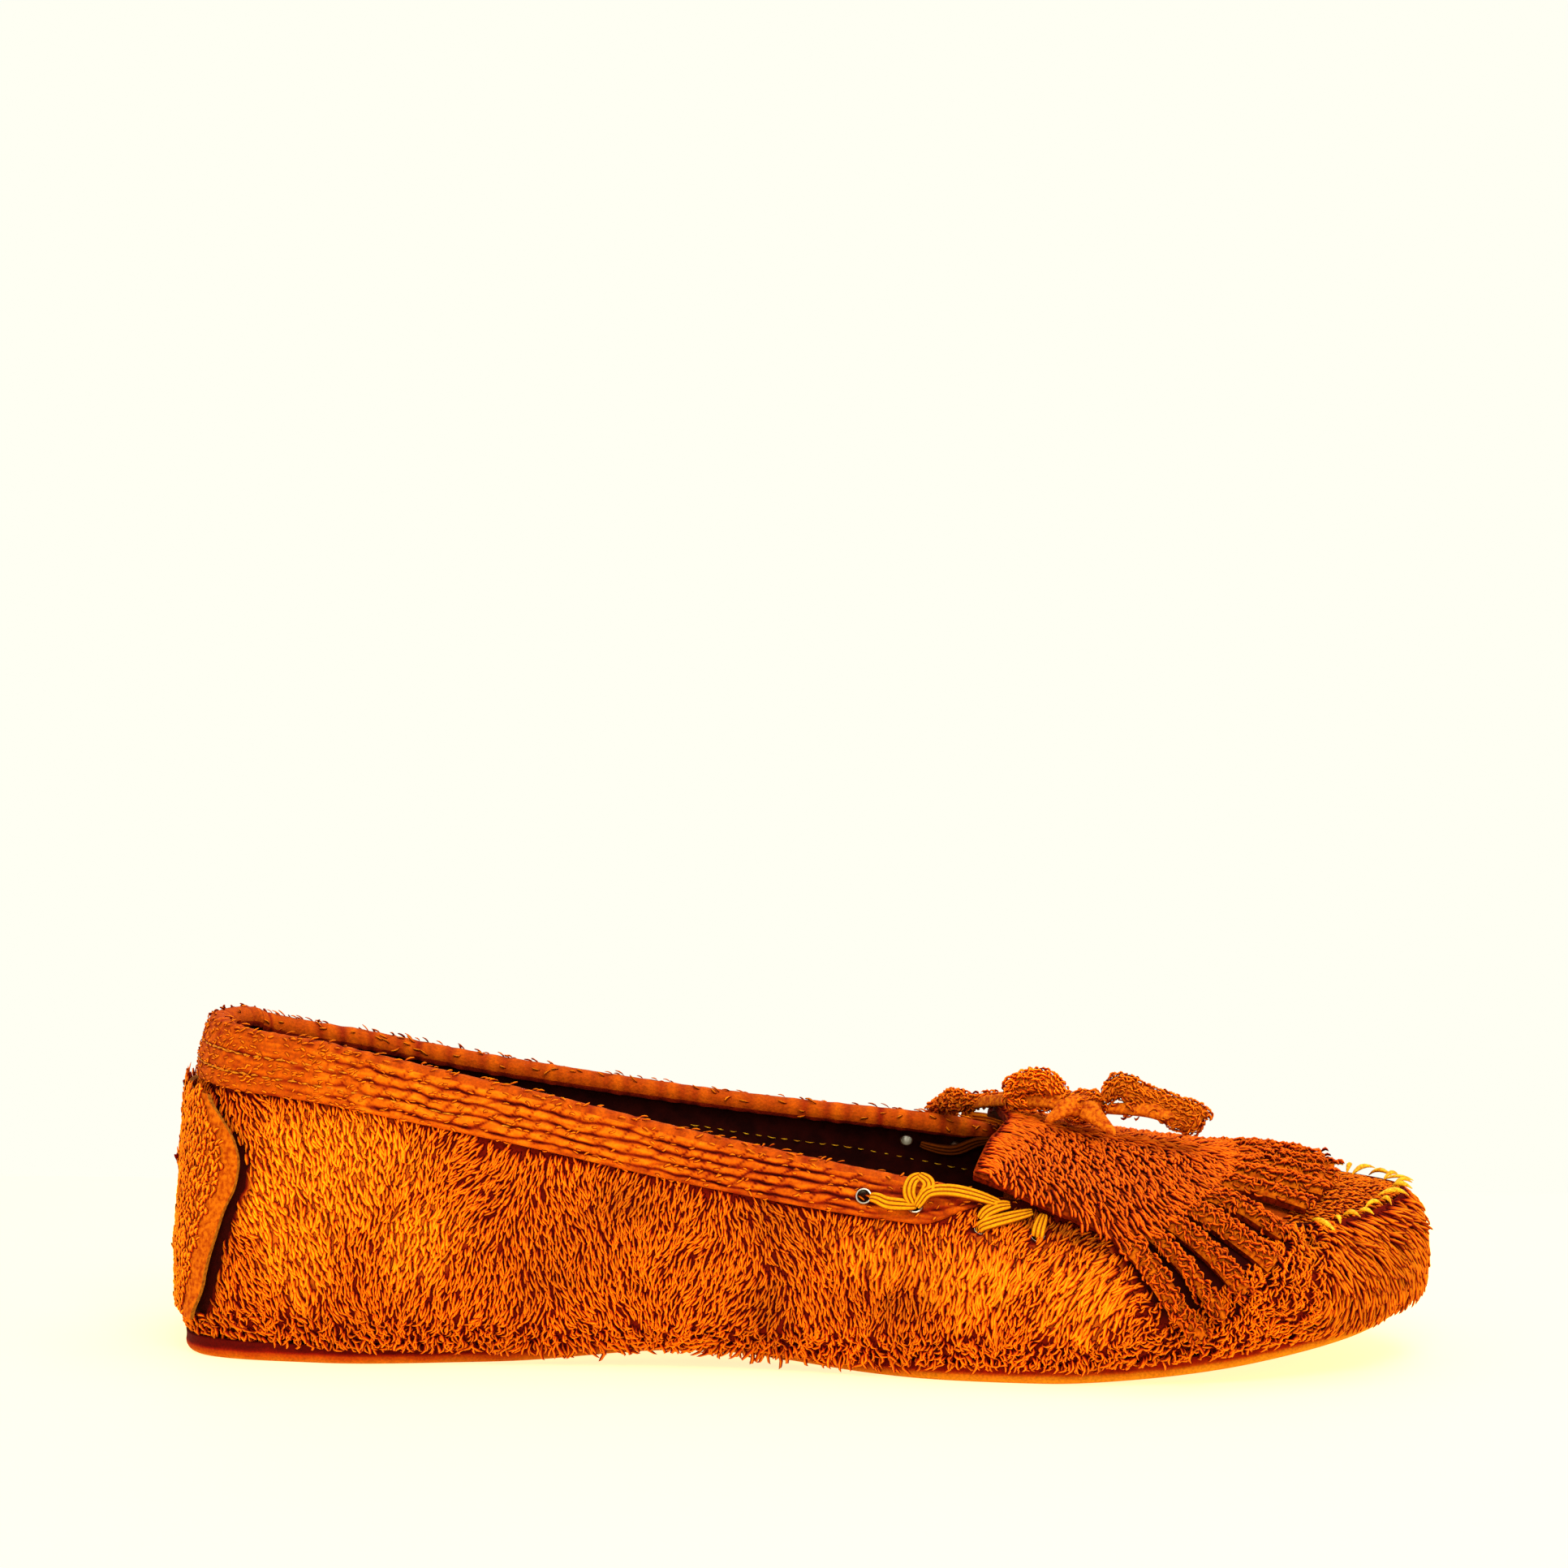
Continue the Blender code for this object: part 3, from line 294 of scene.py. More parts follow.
def wall_surface(at, s):
    """Outer face of the wall; s is 0 at the turned-in margin, 1 at the widest line and 2 at the top edge."""
    at, s = np.broadcast_arrays(np.asarray(at, float), np.asarray(s, float))
    values = section_values(at)
    tuck, belly, lean, edge = (values[..., k] for k in (2, 3, 4, 5))
    turn = np.clip(s, 0, 1) * math.pi / 2
    side = np.clip(s - 1, 0, 1)
    power = 2 / BELLY_SQUARENESS
    under = inset_line(at, tuck * (1 - np.sin(turn) ** power))
    rise = sole_top(under[..., 0]) + GAP + belly * (1 - np.maximum(np.cos(turn), 0) ** power)
    height = rise + (edge - rise) * side
    plan = under + inward(at) * (lean * side**LEAN_POWER)[..., None]
    return np.concatenate([plan, height[..., None]], axis=-1)


def wall_tangents(at, s):
    at, s = np.asarray(at), np.asarray(s)
    step_at, step_s = 1e-3, 1e-2
    along = wall_surface(at + step_at, s) - wall_surface(at - step_at, s)
    up = wall_surface(at, np.clip(s + step_s, 0, 2)) - wall_surface(at, np.clip(s - step_s, 0, 2))
    return unit(along), unit(up)


def wall_normal(at, s):
    along, up = wall_tangents(at, s)
    return unit(np.cross(along, up))


def wall(at, s, out=0.0):
    """Points off the outer face of the wall, along its normal."""
    return wall_surface(at, s) + wall_normal(at, s) * np.asarray(out)[..., None]


def depth_table(at):
    """Shares s and the way down from the top edge to each, for many places round the last at once."""
    s = np.linspace(2, 0, 121)
    line = wall_surface(np.asarray(at)[..., None], s)
    steps = np.linalg.norm(np.diff(line, axis=-2), axis=-1)
    none = np.zeros(line.shape[:-2] + (1,))
    return s, np.concatenate([none, np.cumsum(steps, axis=-1)], axis=-1)


def wall_depth(at, s):
    """How far below the top edge the points of a grid on the wall lie."""
    grid_s, down = depth_table(at[0])
    return np.stack([np.interp(-s[:, k], -grid_s, down[k]) for k in range(s.shape[1])], axis=1)


def below_edge(at, depth, out):
    """Points so far below the top edge, measured down the wall, and so far out from it."""
    at, depth, out = (np.asarray(v, float).ravel() for v in np.broadcast_arrays(at, depth, out))
    s, down = depth_table(at)
    share = np.array([np.interp(d, row, s) for d, row in zip(depth, down)])
    points = wall(at, share, out)
    up = unit(wall_surface(at, 2.0) - wall_surface(at, 2.0 - 1 / 60))
    return points + up * np.maximum(-depth, 0)[:, None]


def edge_share(x, side):
    """Share of the way round where the top edge passes x on one side."""
    shares = np.linspace(0 if side == "near" else 1, TOE, 800)
    return np.interp(x, wall_surface(shares, 2)[:, 0], shares)


def matched_shares(count):
    """Shares round the last, the same number on each side, closer together at heel and toe."""
    t = np.arange(count // 2) / (count // 2)
    eased = t - 0.09 * np.sin(2 * math.pi * t)
    return np.concatenate([eased * TOE, TOE + eased * (1 - TOE)])


def crown(x, across):
    t = np.clip((x - PLUG_BACK) / (wall_surface(TOE, 2)[0] - PLUG_BACK), 0, 1)
    return INSTEP_CROWN * (1 - t**3) * (1 - (2 * across - 1) ** 2)


def plug_edge(at):
    edge = wall(at, np.full(np.shape(at), 2.0), -WALL)
    edge[..., :2] += inward(at) * GAP
    edge[..., 2] = wall_surface(at, 2)[..., 2] - PLUG_SINK
    return edge


def instep_line(x):
    """Across, height and distance from the ridge along the cross section over both walls and the plug."""
    sides = {}
    for side, lines in SECTION_WALL.items():
        sides[side] = np.array([[np.interp(x, line[:, 0], line[:, k]) for k in (1, 2)] for line in lines])
    near_edge, far_edge = sides["near"][-1], sides["far"][-1]
    across = np.linspace(0, 1, 21)[1:-1]
    top = near_edge + (far_edge - near_edge) * across[:, None]
    top[:, 1] += crown(x, across)
    line = np.concatenate([sides["near"], top, sides["far"][::-1]])
    run = np.concatenate([[0], np.cumsum(np.linalg.norm(np.diff(line, axis=0), axis=1))])
    even = np.arange(0, run[-1], 1.0)
    line = np.column_stack([np.interp(even, run, line[:, k]) for k in (0, 1)])
    padded = np.pad(line, ((3, 3), (0, 0)), mode="reflect", reflect_type="odd")
    smooth = np.column_stack([np.convolve(padded[:, k], np.ones(7) / 7, mode="valid") for k in (0, 1)])
    ridge = np.interp((near_edge[0] + far_edge[0]) / 2, smooth[:, 0], even)
    return smooth[:, 0], smooth[:, 1], even - ridge


SECTION_S = np.linspace(0.04, 2, 20)
SECTION_AT = {"near": np.linspace(0, TOE, 200), "far": np.linspace(1, TOE, 200)}
SECTION_WALL = {side: [wall_surface(at, s) for s in SECTION_S] for side, at in SECTION_AT.items()}
INSTEP_X = np.arange(34.0, 114.0, 1.0)
INSTEP_RUN = np.arange(-90.0, 90.5, 0.5)


def instep_map():
    rows = []
    for x in INSTEP_X:
        y, z, run = instep_line(x)
        rows.append(np.column_stack([np.interp(INSTEP_RUN, run, y), np.interp(INSTEP_RUN, run, z)]))
    return np.array(rows)


INSTEP = instep_map()


def instep_points(x, reach):
    """Points on the instep at x, so far from its ridge."""
    i = np.clip((x - INSTEP_X[0]), 0, len(INSTEP_X) - 1.001)
    j = np.clip((reach - INSTEP_RUN[0]) * 2, 0, len(INSTEP_RUN) - 1.001)
    i0, j0 = i.astype(int), j.astype(int)
    a, b = (i - i0)[..., None], (j - j0)[..., None]
    near = INSTEP[i0, j0] * (1 - b) + INSTEP[i0, j0 + 1] * b
    ahead = INSTEP[i0 + 1, j0] * (1 - b) + INSTEP[i0 + 1, j0 + 1] * b
    return np.concatenate([np.asarray(x)[..., None], near * (1 - a) + ahead * a], axis=-1)


def fan_points(angle, radius, out):
    """Points of the fringed flap and their outward directions; degrees from the toe, near is negative."""
    angle, radius, out = np.broadcast_arrays(angle, radius, out)
    turn = np.radians(angle)
    x, reach = FAN_X + radius * np.cos(turn), radius * np.sin(turn)
    over = instep_points(x, reach + 1) - instep_points(x, reach - 1)
    along = instep_points(x + 1, reach) - instep_points(x - 1, reach)
    up = unit(np.cross(along, over))
    return instep_points(x, reach) + up * out[..., None], up


# Building pieces
def grid_faces(rows, columns, closed=False, flip=False):
    """Quads of a grid of points numbered row by row; a closed grid joins its last column to its first."""
    faces = []
    for i in range(rows - 1):
        for j in range(columns if closed else columns - 1):
            k = (j + 1) % columns
            face = (i * columns + j, i * columns + k, (i + 1) * columns + k, (i + 1) * columns + j)
            faces.append(face[::-1] if flip else face)
    return faces


def tube_faces(rows, columns):
    """Quads of a tube of rows of points, with a face over each end."""
    last = (rows - 1) * columns
    ends = [tuple(range(columns)), tuple(last + j for j in reversed(range(columns)))]
    return grid_faces(rows, columns, closed=True, flip=True) + ends


def joined(parts):
    """The points and faces of several meshes as those of one."""
    points, faces = [], []
    for some, quads in parts:
        start = len(points)
        points += list(some)
        faces += [tuple(start + i for i in face) for face in quads]
    return points, faces


def new_object(name, points, faces, materials, indices=None, attributes=None):
    """A mesh object; an attribute is a number or a direction, for each point or for all."""
    points = np.asarray(points).reshape(-1, 3)
    mesh = bpy.data.meshes.new(name)
    mesh.from_pydata(((points + SHIFT) * MM).tolist(), [], faces)
    for material in materials:
        mesh.materials.append(material)
    if indices is not None:
        mesh.polygons.foreach_set("material_index", indices)
    for key, values in (attributes or {}).items():
        values = np.asarray(values, float)
        if values.ndim == 0:
            values = np.full(len(points), values)
        kind, field = ("FLOAT_VECTOR", "vector") if values.ndim == 2 else ("FLOAT", "value")
        mesh.attributes.new(key, kind, "POINT").data.foreach_set(field, values.ravel())
    mesh.shade_smooth()
    made = bpy.data.objects.new(name, mesh)
    bpy.context.scene.collection.objects.link(made)
    return made


def new_sheet(name, outer, inner, faces, materials, kinds, attributes=None):
    """A closed sheet of two layers of points; kinds number the materials of its front, back and rim."""
    count = len(outer)
    edges = {(face[k], face[(k + 1) % len(face)]) for face in faces for k in range(len(face))}
    rim = [(b, a, a + count, b + count) for a, b in sorted(edges) if (b, a) not in edges]
    back = [tuple(i + count for i in reversed(face)) for face in faces]
    indices = [kind for kind, part in zip(kinds, (faces, back, rim)) for _ in part]
    points = np.concatenate([outer, inner])
    return new_object(name, points, faces + back + rim, materials, indices, attributes)


def sharpen(made, degrees):
    made.data.set_sharp_from_angle(angle=math.radians(degrees))
    return made


def belongs(made, slot, *nodes):
    """The piece rides on the shoe and stands for the nodes; the slot is not used."""
    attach(made, "root")
    if nodes:
        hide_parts(*nodes)
    return made


def settled(made):
    """Replaces the object's mesh by its evaluated one and drops its modifiers."""
    view = bpy.context.evaluated_depsgraph_get()
    mesh = bpy.data.meshes.new_from_object(made.evaluated_get(view), depsgraph=view)
    made.modifiers.clear()
    made.data = mesh
    return made


def wobble(points, size, seed=0.0):
    """Smooth noise between about -1 and 1 over lengths of the given size."""
    flat = np.asarray(points).reshape(-1, 3) / size
    values = np.array([noise.noise(Vector(p) + Vector((seed, 0.0, seed))) for p in flat])
    return values.reshape(np.shape(points)[:-1])


def smooth_step(values, low, high):
    t = np.clip((values - low) / (high - low), 0, 1)
    return t * t * (3 - 2 * t)


def bump_out(distance, width):
    return np.exp(-((distance / width) ** 2))


# Nap: locks of leather fibre set on a surface that carries their direction, lift and length
LockShape = namedtuple("LockShape", "arch drift")
LOCKS = (
    LockShape(0.35, (0.0, 0.10, 0.10, 0.0, -0.10)),
    LockShape(0.20, (0.0, 0.30, 0.30, 0.0, -0.20)),
    LockShape(0.40, (0.0, -0.30, -0.25, 0.05, 0.20)),
    LockShape(0.25, (0.0, 0.05, 0.35, 0.75, 1.00)),
    LockShape(0.30, (0.0, -0.10, -0.40, -0.80, -1.00)),
)
CURLS = (
    LockShape(0.50, (0.0, 0.85, 0.85, 0.05, -0.60)),
    LockShape(0.45, (0.0, -0.85, -0.75, 0.15, 0.75)),
    LockShape(0.55, (0.0, 0.70, 1.20, 1.25, 0.80)),
    LockShape(0.40, (0.0, -0.70, -1.20, -1.15, -0.60)),
    LockShape(0.50, (0.0, 0.60, 0.20, -0.60, -1.20)),
)
# Rows of a lock from root to tip: side_glow is painted shade along its sides and root, ridge_glow a painted
# highlight along its ridge
LockRow = namedtuple("LockRow", "x width height side_glow ridge_glow")
LOCK_ROWS = (
    LockRow(0.0, 0.70, 0.10, 0.00, 0.10),
    LockRow(0.28, 1.0, 0.60, 0.00, 0.70),
    LockRow(0.62, 1.0, 0.66, 0.05, 0.95),
    LockRow(0.90, 0.80, 0.40, 0.10, 0.85),
    LockRow(1.0, 0.0, 0.05, 0.30, 0.30),
)


def lock_object(name, shape):
    """One lock of unit length along X and unit width: a three-sided frond, with painted shade on its sides
    and root and a painted highlight on its ridge.
    """
    points, glow = [], []
    for row, drift in zip(LOCK_ROWS[:-1], shape.drift):
        lift = shape.arch * math.sin(math.pi * row.x)
        half = row.width / 2
        sides = ((drift - half, lift), (drift, lift + row.height), (drift + half, lift))
        points += [(row.x, y, z) for y, z in sides]
        glow += [row.side_glow, row.ridge_glow, row.side_glow]
    tip = len(points)
    points.append((1.0, shape.drift[-1], LOCK_ROWS[-1].height))
    glow.append(LOCK_ROWS[-1].ridge_glow)
    faces = [(2, 1, 0)]
    for row in range(len(LOCK_ROWS) - 2):
        for k in range(3):
            a, b = row * 3 + k, row * 3 + (k + 1) % 3
            faces.append((a, b, b + 3, a + 3))
    faces += [(tip - 3 + k, tip - 3 + (k + 1) % 3, tip) for k in range(3)]
    mesh = bpy.data.meshes.new(name)
    mesh.from_pydata(points, [], faces)
    mesh.shade_smooth()
    mesh.attributes.new("glow", "FLOAT", "POINT").data.foreach_set("value", glow)
    return bpy.data.objects.new(name, mesh)


def new_tree(name, sockets):
    """An empty Geometry Nodes tree with named inputs; returns it with its input and output nodes."""
    tree = bpy.data.node_groups.new(name, "GeometryNodeTree")
    tree.interface.new_socket("Geometry", in_out="INPUT", socket_type="NodeSocketGeometry")
    tree.interface.new_socket("Geometry", in_out="OUTPUT", socket_type="NodeSocketGeometry")
    for key, kind in sockets:
        tree.interface.new_socket(key, in_out="INPUT", socket_type=kind)
    return tree, add(tree, "NodeGroupInput").outputs, add(tree, "NodeGroupOutput")


DENSEST = 4.0e6  # shapes a square metre, before their spacing thins them out
# How much the shapes differ, from the least to the most; each draws from its own seed
CHANCES = {
    "tone": (0.0, 1.0),
    "lift": (0.5, 1.6),
    "sway": (-1.0, 1.0),
    "roll": (-0.35, 0.35),
    "length": (0.75, 1.3),
    "width": (0.75, 1.2),
    "thickness": (0.8, 1.25),
}
LEAST_SWAY, SWAY_OF_STAND = 0.35, 1.6  # locks that stand up sway more


def scatter_tree(name, shapes, on_faces):
    """Sets shapes on a surface's faces or a mesh's points, turned along its lay and lifted by its stand."""
    sockets = [(key, "NodeSocketFloat") for key in ("Spacing", "Length", "Width", "Thickness", "Wander")]
    sockets += [("Seed", "NodeSocketInt"), ("Material", "NodeSocketMaterial")]
    tree, given, end = new_tree(name, sockets)
    stored, chance = {}, {}
    for key in ("out", "lay", "nap", "stand", "long"):
        kind = "FLOAT_VECTOR" if key in ("out", "lay") else "FLOAT"
        named = add(tree, "GeometryNodeInputNamedAttribute", {"Name": key}, data_type=kind)
        stored[key] = named.outputs["Attribute"]
    for number, (key, (least, most)) in enumerate(CHANCES.items(), 1):
        seed = add(tree, "ShaderNodeMath", {0: given["Seed"], 1: number}, operation="ADD").outputs[0]
        limits = {"Min": least, "Max": most, "Seed": seed}
        chance[key] = add(tree, "FunctionNodeRandomValue", limits, data_type="FLOAT").outputs["Value"]

    points, outward = given["Geometry"], stored["out"]
    if on_faces:
        spread = {
            "Mesh": given["Geometry"],
            "Distance Min": given["Spacing"],
            "Density Max": DENSEST,
            "Density Factor": stored["nap"],
            "Seed": given["Seed"],
        }
        spots = add(tree, "GeometryNodeDistributePointsOnFaces", spread, distribute_method="POISSON").outputs
        points, outward = spots["Points"], spots["Normal"]
    toned_points = {"Geometry": points, "Name": "tone", "Value": chance["tone"]}
    points = add(tree, "GeometryNodeStoreNamedAttribute", toned_points, data_type="FLOAT", domain="POINT")

    upright = add(tree, "FunctionNodeAlignRotationToVector", {"Vector": outward}, axis="Z")
    along = {"Rotation": upright.outputs["Rotation"], "Vector": stored["lay"]}
    laid = add(tree, "FunctionNodeAlignRotationToVector", along, axis="X", pivot_axis="Z")
    raised = add(tree, "ShaderNodeMath", {0: stored["stand"], 1: chance["lift"]}, operation="MULTIPLY")
    lift = add(tree, "ShaderNodeMath", {0: raised.outputs[0], 1: -1.0}, operation="MULTIPLY")
    looser = add(tree, "ShaderNodeMath", {0: stored["stand"], 1: SWAY_OF_STAND}, operation="MULTIPLY")
    loose = add(tree, "ShaderNodeMath", {0: LEAST_SWAY, 1: looser.outputs[0]}, operation="ADD")
    swayed = add(tree, "ShaderNodeMath", {0: chance["sway"], 1: loose.outputs[0]}, operation="MULTIPLY")
    sway = add(tree, "ShaderNodeMath", {0: given["Wander"], 1: swayed.outputs[0]}, operation="MULTIPLY")
    angles = {"X": chance["roll"], "Y": lift.outputs[0], "Z": sway.outputs[0]}
    euler = add(tree, "ShaderNodeCombineXYZ", angles).outputs[0]
    turn = add(tree, "FunctionNodeEulerToRotation", {"Euler": euler}).outputs["Rotation"]
    turned_by = {"Rotation": laid.outputs["Rotation"], "Rotate By": turn}
    turned = add(tree, "FunctionNodeRotateRotation", turned_by, rotation_space="LOCAL")

    long = add(tree, "ShaderNodeMath", {0: given["Length"], 1: stored["long"]}, operation="MULTIPLY")
    whole = {"X": long.outputs[0], "Y": given["Width"], "Z": given["Thickness"]}
    size = {}
    for axis, key in zip("XYZ", ("length", "width", "thickness")):
        factors = {0: whole[axis], 1: chance[key]}
        size[axis] = add(tree, "ShaderNodeMath", factors, operation="MULTIPLY").outputs[0]

    numbers = {"Max": len(shapes.objects) - 1, "Seed": given["Seed"]}
    children = {"Collection": shapes, "Separate Children": True, "Reset Children": True}
    placed = {
        "Points": points.outputs["Geometry"],
        "Instance": add(tree, "GeometryNodeCollectionInfo", children).outputs["Instances"],
        "Pick Instance": True,
        "Instance Index": add(tree, "FunctionNodeRandomValue", numbers, data_type="INT").outputs["Value"],
        "Rotation": turned.outputs["Rotation"],
        "Scale": add(tree, "ShaderNodeCombineXYZ", size).outputs[0],
    }
    instances = add(tree, "GeometryNodeInstanceOnPoints", placed).outputs["Instances"]
    real = add(tree, "GeometryNodeRealizeInstances", {"Geometry": instances}).outputs["Geometry"]
    painted = add(tree, "GeometryNodeSetMaterial", {"Geometry": real, "Material": given["Material"]})
    tree.links.new(painted.outputs["Geometry"], end.inputs["Geometry"])
    return tree


def above_floor(made, least=0.1):
    """Lifts the tips of hairs that would reach into the floor."""
    places = np.empty(3 * len(made.data.vertices))
    made.data.vertices.foreach_get("co", places)
    places[2::3] = np.maximum(places[2::3], least * MM)
    made.data.vertices.foreach_set("co", places)
    return made


def grown(made, tree, **inputs):
    """Runs the tree on the object with the named inputs and keeps the result as its mesh."""
    modifier = made.modifiers.new(tree.name, "NODES")
    modifier.node_group = tree
    for item in tree.interface.items_tree:
        key = item.name.lower()
        if item.in_out == "INPUT" and key in inputs:
            modifier[item.identifier] = inputs[key]
    made = settled(made)
    for key in ("out", "lay", "stand", "long", "nap"):
        if key in made.data.attributes:
            made.data.attributes.remove(made.data.attributes[key])
    made.data.shade_smooth()
    return made


Scatter = namedtuple("Scatter", "tree spacing length width thickness wander seed")


def scattered(name, points, faces, values, scatter, material, slot):
    """A piece of locks or stitches on a surface, whose points carry their lay, stand, length and shade."""
    base = new_object(name, points, faces, [], attributes=values)
    sizes = {key: getattr(scatter, key) * MM for key in ("spacing", "length", "width", "thickness")}
    made = grown(base, scatter.tree, wander=scatter.wander, seed=scatter.seed, material=material, **sizes)
    return belongs(above_floor(made), slot)


def shape_collection(name, objects):
    shapes = bpy.data.collections.new(name)
    for made in objects:
        shapes.objects.link(made)
    return shapes


LOCK_SHAPES = shape_collection("locks", [lock_object(f"lock_{k}", shape) for k, shape in enumerate(LOCKS)])
CURL_SHAPES = shape_collection("curls", [lock_object(f"curl_{k}", shape) for k, shape in enumerate(CURLS)])
NAP_TREE = scatter_tree("nap", LOCK_SHAPES, on_faces=True)
CURL_TREE = scatter_tree("curls", CURL_SHAPES, on_faces=True)


# Materials
SUEDE_ROUGHNESS, SUEDE_GLOSS = 0.9, 0.06
GLOW_STOPS = (0.05, 0.30, 0.60, 1.0)
GRAIN_STOPS = (0.35, 0.65)
RUBBED_SHINE = 0.17  # what a rubbed place adds to the glow
TONE_SPREAD, TONE_LEAST = 0.42, 0.84  # how locks differ in brightness


def set_stops(ramp, places, colours):
    """Gives a ramp its colours at places along it."""
    stops = ramp.color_ramp.elements
    stops[0].position, stops[0].color = places[0], linear(colours[0])
    stops[1].position, stops[1].color = places[-1], linear(colours[-1])
    for place, colour in zip(places[1:-1], colours[1:-1]):
        stops.new(place).color = linear(colour)


def soft_spots(tree, size_mm, detail):
    """A pattern of soft spots of the given size, fixed to the object."""
    place = add(tree, "ShaderNodeTexCoord").outputs["Object"]
    sizes = {"Vector": place, "Scale": 1 / (size_mm * MM), "Detail": detail}
    return add(tree, "ShaderNodeTexNoise", sizes).outputs["Fac"]


def glowing(tree, colours):
    """Colour that follows the glow stored on the mesh, from painted shade deep in a furrow to a painted
    highlight on the top of a ridge, and lighter where the nap is rubbed.
    """
    glow = add(tree, "ShaderNodeAttribute", attribute_name="glow").outputs["Fac"]
    rubbed = add(tree, "ShaderNodeAttribute", attribute_name="rubbed").outputs["Fac"]
    shine = add(tree, "ShaderNodeMath", {0: rubbed, 1: RUBBED_SHINE, 2: glow}, operation="MULTIPLY_ADD")
    ramp = add(tree, "ShaderNodeValToRGB", {"Fac": shine.outputs[0]})
    set_stops(ramp, GLOW_STOPS, colours)
    return ramp.outputs["Color"]


def finish(tree, shader, colour, roughness, gloss, height=None, bump_mm=0.0):
    """Links a colour and the height of a fine relief, and sets how the surface shines."""
    tree.links.new(colour, shader.inputs["Base Color"])
    if height is not None:
        relief = add(tree, "ShaderNodeBump", {"Height": height, "Distance": bump_mm * MM, "Strength": 1.0})
        tree.links.new(relief.outputs["Normal"], shader.inputs["Normal"])
    shader.inputs["Roughness"].default_value = roughness
    shader.inputs["Specular IOR Level"].default_value = gloss


def napped(name, *colours):
    """Split suede worn to long locks: painted shade dark red in the furrows between, painted highlight orange
    to yellow on their backs.
    """
    material, tree, shader = new_material(name)
    tone = add(tree, "ShaderNodeAttribute", attribute_name="tone").outputs["Fac"]
    patch = add(tree, "ShaderNodeAttribute", attribute_name="patch").outputs["Fac"]
    own = add(tree, "ShaderNodeMath", {0: tone, 1: TONE_SPREAD, 2: TONE_LEAST}, operation="MULTIPLY_ADD")
    value = add(tree, "ShaderNodeMath", {0: own.outputs[0], 1: patch}, operation="MULTIPLY").outputs[0]
    shaded = add(tree, "ShaderNodeHueSaturation", {"Value": value, "Color": glowing(tree, colours)})
    finish(tree, shader, shaded.outputs["Color"], SUEDE_ROUGHNESS, SUEDE_GLOSS)
    return material


def creased(name, *colours, spot_mm, bump_mm):
    """Folded suede: painted shade darkens its creases and a painted highlight lightens its ridges, with a
    fine short nap between.
    """
    material, tree, shader = new_material(name)
    spots = soft_spots(tree, spot_mm, 5.0)
    limits = {"Value": spots, "From Min": 0.3, "From Max": 0.7, "To Min": 0.72, "To Max": 1.2}
    value = add(tree, "ShaderNodeMapRange", limits).outputs["Result"]
    shaded = add(tree, "ShaderNodeHueSaturation", {"Value": value, "Color": glowing(tree, colours)})
    finish(tree, shader, shaded.outputs["Color"], SUEDE_ROUGHNESS, SUEDE_GLOSS, spots, bump_mm)
    return material


def grained(name, dark, light, spot_mm, bump_mm, roughness, gloss=0.08):
    """Leather or rubber whose colour and relief vary in soft spots of the given size."""
    material, tree, shader = new_material(name)
    spots = soft_spots(tree, spot_mm, 4.0)
    ramp = add(tree, "ShaderNodeValToRGB", {"Fac": spots})
    set_stops(ramp, GRAIN_STOPS, (dark, light))
    finish(tree, shader, ramp.outputs["Color"], roughness, gloss, spots, bump_mm)
    return material


def plated():
    """Nickel-plated pressed eyelet: bright with a dull, slightly scratched face."""
    material, tree, shader = new_material("nickel plated brass")
    limits = {"Value": soft_spots(tree, 0.6, 3.0), "To Min": 0.18, "To Max": 0.42}
    tree.links.new(add(tree, "ShaderNodeMapRange", limits).outputs["Result"], shader.inputs["Roughness"])
    shader.inputs["Base Color"].default_value = linear("A8A090")
    shader.inputs["Metallic"].default_value = 1.0
    return material


# Long locks: painted shade dark red in the furrows, painted highlight orange to yellow on their backs
NAP_WALL = napped("napped split suede", "560200", "8E1000", "D85200", "FF960A")
# Duller and darker than the wall's
NAP_FLAP = napped("short napped suede", "4A0200", "841000", "C84600", "EE780A")
# Light curly fluff
NAP_STRAP = napped("fluffy suede thong", "660600", "A02400", "DC5C00", "F89016")
# Fine pale hairs with hardly a dark furrow
NAP_BAND = napped("fibres of the folded band", "861A00", "AE3600", "D86000", "F08C0C")
# Painted shade between the locks, and light where the nap is rubbed away
GROUND = creased(
    "suede ground under the nap", "300200", "7E1000", "D86008", "F89A10", spot_mm=0.8, bump_mm=0.2
)
# Painted shade in its puckers and a painted highlight on its ridges
BAND = creased("folded split suede band", "420200", "8A1C00", "CC5400", "F08A08", spot_mm=0.6, bump_mm=0.25)
# Matt orange without a nap
FLAP_SKIN = grained("cut split suede", "A03600", "D46604", 0.9, 0.15, 0.9, 0.04)
# Dull red-brown: painted shade between the flap's locks
FLAP_GROUND = grained("split suede under the flap's nap", "5A0E00", "963000", 0.9, 0.15, 0.9, 0.02)
# Darkest, as it always lies in shade
FLAP_BACK = grained("shaded back of split suede", "360400", "761800", 0.9, 0.15, 0.9, 0.02)
# A paler yellow-brown line
CUT_EDGE = grained("cut edge of tanned hide", "7A3A06", "AC6810", 0.7, 0.1, 0.8)
# Nearly black inside the shoe
LINING = grained("worn lining leather", "260402", "3C0A04", 3.0, 0.05, 0.75)
# Dark brown, smoother than the lining
SOCK = grained("insole leather", "341006", "56240C", 4.0, 0.05, 0.6)
# Red-brown edge: painted shadow of the nap along its top, painted highlight on its lower rim
SOLE = creased("moulded crepe rubber", "520200", "861000", "B03C00", "D07A0C", spot_mm=0.5, bump_mm=0.06)
